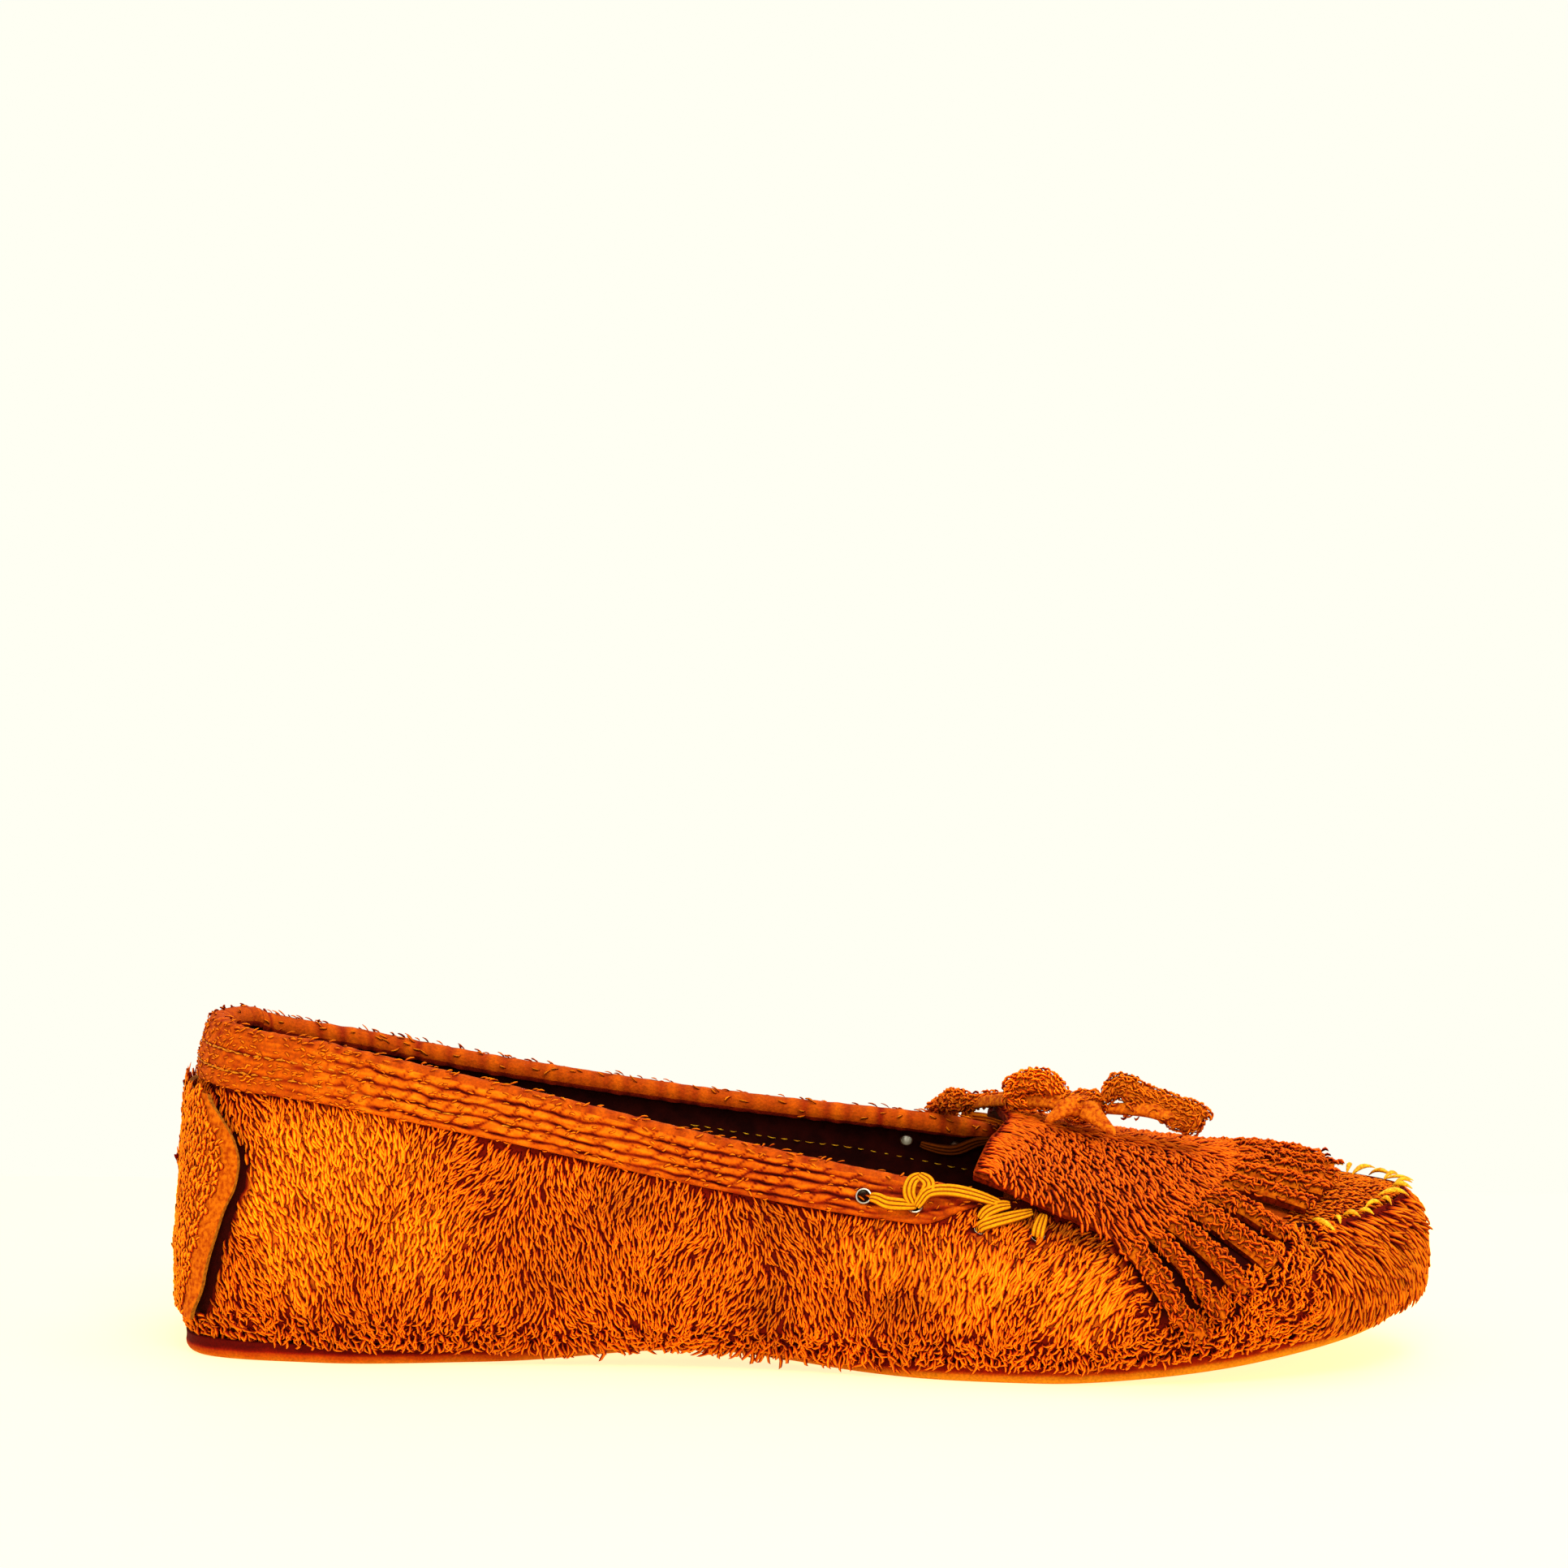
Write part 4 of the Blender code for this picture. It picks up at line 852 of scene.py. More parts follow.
# Gold ribs with a painted highlight, and painted shade as brown lines between them
LACE = creased("woven flat lace", "3A0E00", "8A3C00", "CE7200", "F29C0A", spot_mm=0.4, bump_mm=0.05)
# Bright gold with a waxy gleam
THREAD = grained("waxed gold thread", "CC7C00", "FFBE1C", 0.5, 0.05, 0.5, 0.1)
# Tan, little lighter than the band
BAND_THREAD = grained("waxed tan thread", "A84C00", "E08C0C", 0.5, 0.05, 0.5, 0.1)
# Plain orange skin under the fluff
STRAP = grained("smooth thong leather", "9A2C00", "E07006", 0.8, 0.25, 0.8, 0.05)
PLATED = plated()


# Wall of the shoe
WALL_AROUND, TURN_ROWS, SIDE_ROWS = 420, 12, 26
Pucker = namedtuple("Pucker", "x side depth length")
PUCKERS = (
    Pucker(92.0, "near", 1.4, 8.0),
    Pucker(98.5, "near", 2.6, 11.0),
    Pucker(105.5, "near", 2.4, 10.0),
    Pucker(112.0, "near", 2.5, 9.0),
    Pucker(117.0, "near", 1.8, 8.0),
    Pucker(94.0, "far", 1.8, 9.0),
    Pucker(101.0, "far", 2.3, 10.0),
    Pucker(108.0, "far", 2.2, 9.0),
    Pucker(114.0, "far", 2.0, 8.0),
    Pucker(118.5, "far", 1.5, 8.0),
)
Swell = namedtuple("Swell", "x z side height width")
SWELLS = (
    Swell(-86.0, 30.0, "near", 0.8, 16.0),
    Swell(-52.0, 20.0, "near", -0.8, 14.0),
    Swell(-20.0, 26.0, "near", 0.7, 15.0),
    Swell(6.0, 16.0, "near", -0.9, 12.0),
    Swell(30.0, 22.0, "near", 0.8, 12.0),
    Swell(58.0, 16.0, "near", 0.7, 13.0),
    Swell(-70.0, 28.0, "far", -0.7, 15.0),
    Swell(-30.0, 24.0, "far", 0.8, 16.0),
    Swell(15.0, 20.0, "far", -0.7, 14.0),
    Swell(50.0, 18.0, "far", 0.7, 14.0),
)


def lies_on(points, side):
    """Which points lie on the near or on the far side."""
    return points[..., 1] < 0 if side == "near" else points[..., 1] > 0


def wall_relief(at, s):
    """How far folds and swellings move the wall out from its plain shape."""
    points, depth = wall_surface(at, s), wall_depth(at, s)
    out = np.zeros(s.shape)
    for pucker in PUCKERS:
        aside = (at - edge_share(pucker.x, pucker.side)) * GIRTH
        reach = np.clip(depth / pucker.length, 0, 1)
        run = np.sin(math.pi * np.clip(reach * 1.25 + 0.12, 0, 1)) ** 1.2
        out -= pucker.depth * run * bump_out(aside, 1.3 + 2.0 * reach)
        out += 0.45 * pucker.depth * run * (bump_out(aside - 3.4, 1.9) + bump_out(aside + 3.4, 1.9))
    for swell in SWELLS:
        away = np.hypot(points[..., 0] - swell.x, points[..., 2] - swell.z)
        out += np.where(lies_on(points, swell.side), swell.height * bump_out(away, swell.width), 0.0)
    return out * np.clip((2.0 - s) * 4, 0, 1) * np.clip(s * 3, 0, 1)


def wall_grid():
    shares = matched_shares(WALL_AROUND)
    steps = np.concatenate([np.linspace(0, 1, TURN_ROWS + 1), 1 + np.linspace(0, 1, SIDE_ROWS + 1)[1:]])
    s, at = np.meshgrid(steps, shares, indexing="ij")
    return at, s


def eyelet_frame(eyelet, side):
    """Place on the surface, outward direction and forward direction of an eyelet."""
    surface = GAP + COLLAR_THICKNESS + COLLAR_PUFF if eyelet.on_collar else 0.0
    at = edge_share(eyelet.near_x if side == "near" else eyelet.far_x, side)
    point = below_edge(at, eyelet.depth, surface + GAP)[0]
    outward = unit(below_edge(at, eyelet.depth, surface + GAP + 1)[0] - point)
    forward = below_edge(at + 1e-3, eyelet.depth, surface + GAP)[0] - point
    return point, outward, unit(forward - outward * np.dot(forward, outward))


def turned(spot, profile, sides):
    """Points of a profile of radius and height turned about the spot's outward direction."""
    point, outward, forward = spot
    other = np.cross(outward, forward)
    turn = np.arange(sides) * 2 * math.pi / sides
    spokes = forward * np.cos(turn)[:, None] + other * np.sin(turn)[:, None]
    return np.array([[point + spoke * r + outward * h for r, h in profile] for spoke in spokes])


def cut_eyelet_holes(made, eyelets):
    """Opens the mesh for the barrels of these eyelets on both sides."""
    sides, radius = 20, EYELET_BARREL + 0.05
    count = 2 * sides
    faces = [((k - 2) % count, k, k + 1, (k - 1) % count) for k in range(0, count, 2)]
    faces += [tuple(reversed(range(0, count, 2))), tuple(range(1, count, 2))]
    barrels = []
    for side in SIDES:
        for eyelet in eyelets:
            rows = turned(eyelet_frame(eyelet, side), ((radius, -8.0), (radius, 4.0)), sides)
            barrels.append((rows.reshape(-1, 3), faces))
    cutter = new_object("eyelet_cutter", *joined(barrels), [])
    modifier = made.modifiers.new("holes", "BOOLEAN")
    modifier.operation, modifier.object, modifier.solver = "DIFFERENCE", cutter, "EXACT"
    made = settled(made)
    bpy.data.objects.remove(cutter)
    return made


def make_wall():
    at, s = wall_grid()
    relief = wall_relief(at, s)
    outer = wall(at, s, relief).reshape(-1, 3)
    inner = wall(at, s, -WALL + np.minimum(relief, 0.0)).reshape(-1, 3)
    angle, radius = fan_place(outer)
    # Painted shade: the ground under the nap is darkest under the fringe and beside the heel flap, lighter
    # where the nap is pressed
    flap_shade_mask = (radius > FAN_ROOT - 3.0) & (radius < 76.0) & (np.abs(angle) < STRIPS[-1].cut)
    flap_shade_mask |= from_heel(at) - flap_half_width(outer[:, 2]) < 1.5
    glow = np.where(flap_shade_mask, 0.0, 0.20 + 0.42 * pressed(outer))
    values = {"glow": np.concatenate([glow, np.zeros(at.size)])}
    faces = grid_faces(*at.shape, closed=True)
    made = new_sheet("upper_wall", outer, inner, faces, [GROUND, LINING], (0, 1, 0), values)
    made = cut_eyelet_holes(made, EYELETS)
    belongs(sharpen(made, 45), "suede", "upper")


def from_heel(at):
    """Distance round the wall from the middle of the heel."""
    return np.minimum(at, 1 - at).ravel() * GIRTH


def flap_half_width(z):
    """Half the heel flap's width at a height, none above and below it."""
    heights = [row.height for row in reversed(FLAP_ROWS)]
    return np.interp(z, heights, [row.half_width for row in reversed(FLAP_ROWS)], left=-10.0, right=-10.0)


def fan_place(points):
    """Angle and radius on the fringed flap's fan of points on the wall; the radius is huge off the instep."""
    angle, radius = np.zeros(len(points)), np.full(len(points), 1e3)
    for k, (x, y, z) in enumerate(points):
        if INSTEP_X[0] <= x <= INSTEP_X[-1]:
            line = INSTEP[int(round(x - INSTEP_X[0]))]
            reach = INSTEP_RUN[np.argmin((line[:, 0] - y) ** 2 + (line[:, 1] - z) ** 2)]
            angle[k] = math.degrees(math.atan2(reach, x - FAN_X))
            radius[k] = math.hypot(reach, x - FAN_X)
    return angle, radius


def rear_radius(angle):
    turn = np.radians(np.abs(angle))
    return FAN_REAR / (np.cos(turn) + FAN_REAR_SLANT * np.sin(turn))


def front_radius(angle):
    turn = np.radians(np.abs(angle))
    slope = FAN_SIDE_SLANT * np.sin(turn) - np.cos(turn)
    return np.where(slope > 1e-6, np.minimum(FAN_ROOT, FAN_SIDE / np.maximum(slope, 1e-6)), FAN_ROOT)


def collar_width(x):
    t = np.clip((x + LAST_LENGTH / 2) / (COLLAR_END + LAST_LENGTH / 2), 0, 1)
    full = COLLAR_HEEL_WIDTH + (COLLAR_THROAT_WIDTH - COLLAR_HEEL_WIDTH) * t
    return full + (COLLAR_TIP_WIDTH - full) * smooth_step(x, 25.0, 39.0)


# Patches where the nap is pressed flat and bright, by place on each side of the wall
Patch = namedtuple("Patch", "x z side width height")
PATCHES = (
    Patch(-90.0, 40.0, "near", 15.0, 11.0),
    Patch(-98.0, 24.0, "near", 8.0, 9.0),
    Patch(-105.0, 33.0, "near", 6.0, 8.0),
    Patch(-74.0, 26.0, "near", 8.0, 7.0),
    Patch(18.0, 26.0, "near", 9.0, 4.5),
    Patch(37.0, 22.0, "near", 13.0, 6.5),
    Patch(57.0, 18.0, "near", 9.0, 7.5),
    Patch(-93.0, 39.0, "far", 13.0, 8.0),
    Patch(-76.0, 23.0, "far", 8.0, 9.0),
    Patch(-50.0, 34.0, "far", 9.0, 4.0),
    Patch(-12.0, 22.0, "far", 7.0, 7.0),
    Patch(14.0, 27.0, "far", 11.0, 4.0),
    Patch(41.0, 18.0, "far", 9.0, 6.0),
)


def from_middle(points, spot):
    """Distance from the middle of a spot of the wall, 1 at its rim, endless on the other side of the shoe."""
    away = np.hypot((points[:, 0] - spot.x) / spot.width, (points[:, 2] - spot.z) / spot.height)
    return np.where(lies_on(points, spot.side), away, np.inf)


def pressed(points):
    """How flat the nap is pressed, 0 to 1."""
    flat = np.zeros(len(points))
    for patch in PATCHES:
        flat = np.maximum(flat, np.clip(1.5 - from_middle(points, patch), 0, 1))
    ragged = wobble(points, 5.0, 3.0) * 0.7
    return np.clip(flat + ragged * (flat > 0), 0, 1)


# Broad places of the wall coloured lighter or darker than the rest, and by how much
Tone = namedtuple("Tone", "x z side width height shift")
TONES = (
    Tone(10.0, 8.0, "near", 8.0, 4.0, 0.12),
    Tone(-92.0, 48.0, "near", 14.0, 6.0, 0.16),
    Tone(-103.0, 53.0, "near", 5.0, 4.0, -0.22),
    Tone(-106.0, 32.0, "near", 8.0, 12.0, 0.24),
    Tone(-58.0, 38.0, "near", 12.0, 6.0, -0.02),
    Tone(-46.0, 24.0, "near", 12.0, 8.0, -0.16),
    Tone(-31.0, 33.0, "near", 9.0, 6.0, -0.34),
    Tone(-27.0, 27.0, "near", 7.0, 7.0, 0.12),
    Tone(-3.0, 31.0, "near", 8.0, 6.0, -0.34),
    Tone(-87.0, 16.0, "near", 8.0, 6.0, -0.08),
    Tone(-4.0, 14.0, "near", 5.0, 9.0, -0.40),
    Tone(9.0, 8.0, "near", 5.0, 3.0, 0.14),
    Tone(21.0, 17.0, "near", 8.0, 6.0, -0.30),
    Tone(42.0, 6.0, "near", 10.0, 4.0, 0.24),
    Tone(38.0, 22.0, "near", 20.0, 8.0, 0.06),
    Tone(24.0, 18.0, "near", 14.0, 4.0, -0.12),
    Tone(56.0, 18.0, "near", 8.0, 6.0, 0.10),
    Tone(115.0, 20.0, "near", 14.0, 12.0, -0.28),
    Tone(-95.0, 45.0, "far", 14.0, 8.0, 0.14),
    Tone(-50.0, 30.0, "far", 16.0, 10.0, -0.18),
    Tone(10.0, 22.0, "far", 14.0, 8.0, 0.12),
    Tone(60.0, 16.0, "far", 16.0, 8.0, -0.14),
)


def toned(points):
    return sum(tone.shift * bump_out(from_middle(points, tone), 1.0) for tone in TONES)


# Which way the nap is combed on the near side: lean from upright towards the toe, in radians
Comb = namedtuple("Comb", "x z lean")
COMBS = (
    Comb(-106.0, 34.0, -0.45),
    Comb(-92.0, 30.0, -0.30),
    Comb(-78.0, 34.0, 0.05),
    Comb(-64.0, 36.0, 0.60),
    Comb(-60.0, 18.0, 0.25),
    Comb(-40.0, 24.0, -0.45),
    Comb(-28.0, 32.0, 0.30),
    Comb(-14.0, 16.0, 0.50),
    Comb(2.0, 28.0, -0.30),
    Comb(20.0, 24.0, 0.0),
    Comb(38.0, 20.0, 0.15),
    Comb(58.0, 18.0, 0.55),
    Comb(78.0, 14.0, 0.80),
    Comb(92.0, 18.0, 0.30),
    Comb(98.0, 9.0, 1.10),
    Comb(104.0, 25.0, -0.40),
    Comb(114.0, 25.0, -0.75),
    Comb(112.0, 12.0, 0.90),
    Comb(120.0, 18.0, -0.30),
)


def combed(points):
    weight, lean = np.full(len(points), 1e-6), np.zeros(len(points))
    for comb in COMBS:
        share = bump_out(np.hypot(points[:, 0] - comb.x, points[:, 2] - comb.z), 10.0)
        weight += share
        lean += share * comb.lean
    return lean / weight


# Nap of the wall, by how it grows; pressed nap is scaly at the heel and ridged in front
WALL_NAPS = {
    "locks": Scatter(NAP_TREE, 0.64, 2.5, 0.74, 0.68, 0.25, 0),
    "scales": Scatter(NAP_TREE, 0.78, 3.3, 1.0, 0.7, 0.12, 10),
    "ridges": Scatter(NAP_TREE, 0.84, 4.6, 1.12, 0.75, 0.14, 20),
    "strands": Scatter(NAP_TREE, 0.78, 3.9, 0.95, 0.7, 0.12, 30),
    "curls": Scatter(CURL_TREE, 0.66, 2.4, 0.8, 0.85, 0.6, 40),
}
NAP_QUARTERS = ("near_heel", "near_toe", "far_toe", "far_heel")
NAP_SPACING = {"near": 0.94, "far": 1.02}  # its locks stand closer on the side that the camera sees
NAP_FIRST_SEED = 5
RIDGES_FROM = -35.0  # X where scales give way to ridges


def nap_cover(at, s, points, relief):
    """Where the wall has nap, 0 or 1, and how far the pieces over it and its folds shade it."""
    x, depth = points[:, 0], wall_depth(at, s).ravel()
    half = flap_half_width(points[:, 2])
    off_flap = from_heel(at) - half
    angle, radius = fan_place(points)
    turn, front = np.abs(angle), front_radius(angle)
    bare = (depth < collar_width(x) - 0.6) & (x < COLLAR_TIP)
    bare |= (depth < 0.4) | (s.ravel() < 0.26)
    bare |= (half > 0) & (off_flap < 0.9)
    bare |= (radius < front - 2.0) & (radius > rear_radius(angle)) & (turn < FAN_CORNER)
    bare |= (radius < 69.5) & (radius > FAN_ROOT - 2.0) & (turn < STRIPS[-1].cut - 1.0)
    for side in SIDES:
        for eyelet in EYELETS:
            if not eyelet.on_collar:
                bare |= np.linalg.norm(points - eyelet_frame(eyelet, side)[0], axis=1) < 1.6
    shade = 0.9 * bump_out(off_flap - 0.9, 1.1) * (half > 0)
    shade += 1.4 * bump_out(radius - front - 1.2, 2.4) * (turn < FAN_CORNER) * (turn > STRIPS[-1].cut)
    shade += smooth_step(-relief.ravel(), 0.5, 2.0)
    return 1.0 - bare, np.clip(shade, 0, 1.6)


def make_wall_nap():
    """Locks all over the wall, longest and loosest at its lower edge, none under band, flaps and eyelets."""
    at, s = wall_grid()
    relief = wall_relief(at, s)
    points = wall(at, s, relief).reshape(-1, 3)
    along, up = (v.reshape(-1, 3) for v in wall_tangents(at, s))
    nap, shade = nap_cover(at, s, points, relief)
    x, share, flat = points[:, 0], s.ravel(), pressed(points)
    ridged = flat * (x > RIDGES_FROM)
    low = smooth_step(-share, -1.05, -0.70)
    hem = smooth_step(-share, -0.62, -0.40)
    waist = np.maximum(bump_out(x - 1.0, 24.0), 1.1 * bump_out(x + 42.0, 15.0)) * lies_on(points, "near")
    toe = smooth_step(x, 100.0, 107.0)
    curly = np.maximum(smooth_step(x, 62.0, 76.0) * (1 - toe), 0.75 * low * (1 - toe))
    sway = 0.45 * wobble(points, 14.0, 1.0) + 0.75 * wobble(points, 4.0, 2.0)
    swirl = 1.6 * wobble(points, 5.0, 4.0) + 0.9 * wobble(points, 2.5, 5.0)
    heading = combed(points) + sway * (1.0 - 0.75 * flat - 0.5 * toe)
    heading += curly * swirl * (1.0 - 0.8 * hem)
    heading = np.where(lies_on(points, "near"), heading, -heading)
    stand = 0.07 + 0.04 * wobble(points, 4.0, 7.0) - 0.06 * flat - 0.02 * curly
    stand += 0.45 * hem * (1 - 0.85 * toe)
    stand += 0.12 * bump_out(from_heel(at), 24.0) * (1 - flat)
    patch = 1.01 + toned(points) + 0.02 * flat - 0.12 * ridged + 0.12 * wobble(points, 9.0, 6.0) - 0.01 * low
    values = {
        "lay": -up * np.cos(heading)[:, None] - along * np.sin(heading)[:, None],
        "stand": stand,
        "long": 1.0 - 0.25 * flat - 0.15 * curly + hem * (0.1 + 0.9 * waist) + 0.15 * toe,
        # patch: lighter and darker places, with painted shade where the flaps overhang and where the folds
        # sink in
        "patch": patch - 0.55 * shade,
        "rubbed": flat - 0.45 * ridged,
    }
    plain, flattened, at_toe, at_front = curly < 0.5, flat >= 0.55, toe >= 0.55, x >= RIDGES_FROM
    where = {
        "locks": plain & ~flattened & ~at_toe,
        "scales": plain & flattened & ~at_front,
        "ridges": plain & flattened & at_front & ~at_toe,
        "strands": plain & at_toe,
        "curls": ~plain,
    }
    faces = grid_faces(*at.shape, closed=True)
    quarter = WALL_AROUND // 4
    for number, place in enumerate(NAP_QUARTERS):
        spacing = NAP_SPACING[place.split("_")[0]]
        in_quarter = [face for k, face in enumerate(faces) if k % WALL_AROUND // quarter == number]
        for kind, scatter in WALL_NAPS.items():
            values["nap"] = nap * where[kind]
            chosen = [face for face in in_quarter if values["nap"][list(face)].any()]
            if not chosen:
                continue
            seed = NAP_FIRST_SEED + number + scatter.seed
            scatter = scatter._replace(spacing=scatter.spacing * spacing, seed=seed)
            scattered(f"wall_{kind}_{place}", points, chosen, values, scatter, NAP_WALL, "suede")


# Plug of the toe
PLUG_NAP = Scatter(NAP_TREE, 0.80, 2.8, 0.9, 0.5, 0.8, 11)


def make_plug():
    near, far = (edge_share(PLUG_BACK, side) for side in SIDES)
    across = np.linspace(0, 1, 41)
    rows = []
    for step in np.linspace(0, PLUG_REACH, 44):
        ends = plug_edge(np.array([near + (TOE - near) * step, far + (TOE - far) * step]))
        line = ends[0] + (ends[1] - ends[0]) * across[:, None]
        line[:, 2] += crown(line[:, 0], across)
        rows.append(line)
    start, rest = near + (TOE - near) * PLUG_REACH, (far - near) * (1 - PLUG_REACH)
    rows.append(plug_edge(start + rest * across))
    top = np.concatenate(rows)
    under = top - np.array([0, 0, PLUG_THICKNESS])
    faces = grid_faces(len(rows), len(across), flip=True)
    made = new_sheet("plug_leather", top, under, faces, [GROUND, LINING], (0, 1, 0), {"glow": 0.4})
    belongs(sharpen(made, 45), "suede", "plug")

    heading = 0.8 * wobble(top, 7.0, 9.0)
    values = {
        "lay": np.column_stack([np.cos(heading), np.sin(heading), np.zeros(len(top))]),
        "stand": 0.12,
        "long": 0.6,
        "nap": fan_place(top)[1] > 68.0,
        "patch": 0.85,
    }
    scattered("plug_nap", top, faces, values, PLUG_NAP, NAP_WALL, "suede")


# Bound collar
CORD_ROWS, CORD_CELL = 4.6, 4.4  # puckered rows across the folded band, and the length of a pucker
BAND_STITCHES = (0.36, 0.70)  # rows of stitches, as shares of the band's width
BAND_ROWS, FOLD_ROWS = 42, 7  # rows of points down its outside and over its top
RIM_NAP = Scatter(NAP_TREE, 0.70, 1.8, 0.5, 0.35, 0.9, 51)


def band_relief(run, depth, width, x):
    """Height and glow of the band's puckers, and of the grooves its stitches pull in at the heel; the glow is
    painted shade in furrows and grooves and a painted highlight on ridges and raised wrinkles.
    """
    none = np.zeros(len(run))
    share = depth / width
    corded = smooth_step(x, -104.0, -78.0) * (1 - smooth_step(x, 8.0, 26.0))
    corded = corded * (1 - smooth_step(share, 0.88, 0.96))
    spot = np.column_stack([run, depth, none])
    row = share * CORD_ROWS + 0.32 * wobble(spot, 7.0, 5.0) + 0.20 * wobble(spot, 2.5, 6.0)
    number = np.floor(row)
    part = row - number
    line = bump_out(np.minimum(part, 1 - part) * width / CORD_ROWS, 0.30)
    cell = run / CORD_CELL + 0.5 * (number % 2)
    cell += 0.9 * wobble(np.column_stack([run, 30 * number, none]), 9.0, 7.0)
    cell += 0.5 * (part - 0.5)
    within = cell - np.floor(cell)
    strength = 0.65 + 0.6 * wobble(np.column_stack([np.floor(cell), number, none]) * 3.7, 1.0, 2.0)
    cross = bump_out(np.minimum(within, 1 - within) * CORD_CELL, 0.34) * np.clip(strength, 0.15, 1)
    furrow = corded * np.maximum(line * (0.75 + 0.5 * wobble(spot, 5.0, 3.0)), 0.9 * cross)
    groove = sum(bump_out(depth - stitch * width, 0.35) for stitch in BAND_STITCHES) * (1 - corded)
    wrinkle = 0.5 * wobble(spot * (0.35, 1.0, 1.0), 1.6, 9.0) * (1 - 0.5 * corded)
    wrinkle += 0.7 * wobble(spot * (0.2, 1.0, 1.0), 0.7, 19.0)
    ridge = corded * np.sin(math.pi * part)
    height = 0.30 * ridge - 0.55 * furrow - 0.30 * groove + 0.16 * wrinkle
    glow = 0.57 - 0.12 * smooth_step(x, -40.0, 0.0) - 0.08 * (1 - smooth_step(x, -105.0, -90.0))
    # Painted shade in the furrows and stitch grooves, painted highlight on the ridges and raised wrinkles
    glow += 0.16 * ridge - 0.62 * furrow - 0.28 * groove + 0.34 * wrinkle
    return height, np.clip(glow, 0, 1)


def make_collar():
    """The folded band: stitched flat at the heel, drawn up into rows of puckers along the sides."""
    shares = np.linspace(edge_share(COLLAR_TIP, "far") - 1, edge_share(COLLAR_TIP, "near"), 760)
    x = wall_surface(shares, 2)[:, 0]
    width, run = collar_width(x), shares * GIRTH
    thick = COLLAR_THICKNESS * (1 - 0.85 * smooth_step(x, 28.0, 40.0))
    outside, inside = GAP + thick, -WALL - GAP
    columns, glow = [], []
    for v in np.linspace(1.0, 0.06, BAND_ROWS):
        height, shine = band_relief(run, width * v, width, x)
        height = (height + COLLAR_PUFF * math.sin(math.pi * v)) * thick / COLLAR_THICKNESS
        columns.append(below_edge(shares, width * v, outside + (height if v < 0.98 else -0.5 * thick)))
        glow.append(shine)
    ragged = wobble(np.column_stack([run, run * 0, run * 0]), 2.2, 8.0)
    for turn in np.linspace(0, math.pi, FOLD_ROWS):
        high = (GAP + thick + 0.2 * ragged) * math.sin(turn)
        middle, half = (outside + inside - thick) / 2, (outside - inside + thick) / 2
        columns.append(below_edge(shares, 0.4 * (1 - math.sin(turn)) - high, middle + half * math.cos(turn)))
        glow.append(0.46 + 0.25 * ragged)
    # Painted shade: the band's glow drops as it folds down inside the shoe, and stays low on the rows hidden
    # inside
    fold = width * COLLAR_INSIDE
    for v in (0.4, 0.8, 1.0):
        columns.append(below_edge(shares, fold * v * (1 + 0.2 * ragged), inside - thick))
        glow.append(0.36 - 0.25 * v + 0.2 * ragged)
    for depth, out in ((fold, inside), (0.0, inside), (-GAP, (inside + GAP) / 2), (0.0, GAP), (width, GAP)):
        columns.append(below_edge(shares, depth, out))
        glow.append(np.full(len(shares), 0.1))
    lit = 1 - 0.95 * smooth_step(x, 33.0, 40.0)  # the flap's shadow over the ends of the band
    grid, glow = np.stack(columns, axis=1), (np.stack(glow, axis=1) * lit[:, None]).ravel()
    faces = tube_faces(*grid.shape[:2])
    made = new_object("collar_leather", grid, faces, [BAND], attributes={"glow": np.clip(glow, 0, 1)})
    made = cut_eyelet_holes(made, [eyelet for eyelet in EYELETS if eyelet.on_collar])
    belongs(sharpen(made, 60), "suede_band", "collar_band")
    make_rim_nap(grid[:, : BAND_ROWS + FOLD_ROWS + 2])


def make_rim_nap(strip):
    """Short hairs lying along the band, frayed and standing along its top."""
    rows, columns = strip.shape[:2]
    points = strip.reshape(-1, 3)
    along, across = (unit(np.gradient(strip, axis=k)).reshape(-1, 3) for k in (0, 1))
    heading = 1.0 * wobble(points, 2.5, 21.0) + 0.2
    column = np.tile(np.arange(columns), rows) - BAND_ROWS
    crest = bump_out(column - 3.0, 3.5)
    sides = 0.16 + 0.25 * (1 - smooth_step(points[:, 0], -95.0, -70.0))
    values = {
        "lay": along * np.cos(heading)[:, None] + across * np.sin(heading)[:, None],
        "stand": 0.02 + 0.26 * crest,
        "long": 0.7 + 0.3 * crest,
        "nap": (column < 2) * sides + 0.10 * crest * (column < 6),
        "patch": 0.95 + 0.2 * wobble(points, 8.0, 22.0),
        "rubbed": 0.3,
    }
    faces = grid_faces(rows, columns, flip=True)
    scattered("rim_nap", points, faces, values, RIM_NAP, NAP_BAND, "suede_band")


# Heel flap
FLAP_THIN = 0.6  # of the solid's thickness: the nap takes the rest
FLAP_BARE = 4.0  # smooth border along its sides
FLAP_NAP = Scatter(NAP_TREE, 0.80, 2.0, 1.15, 0.45, 0.9, 21)


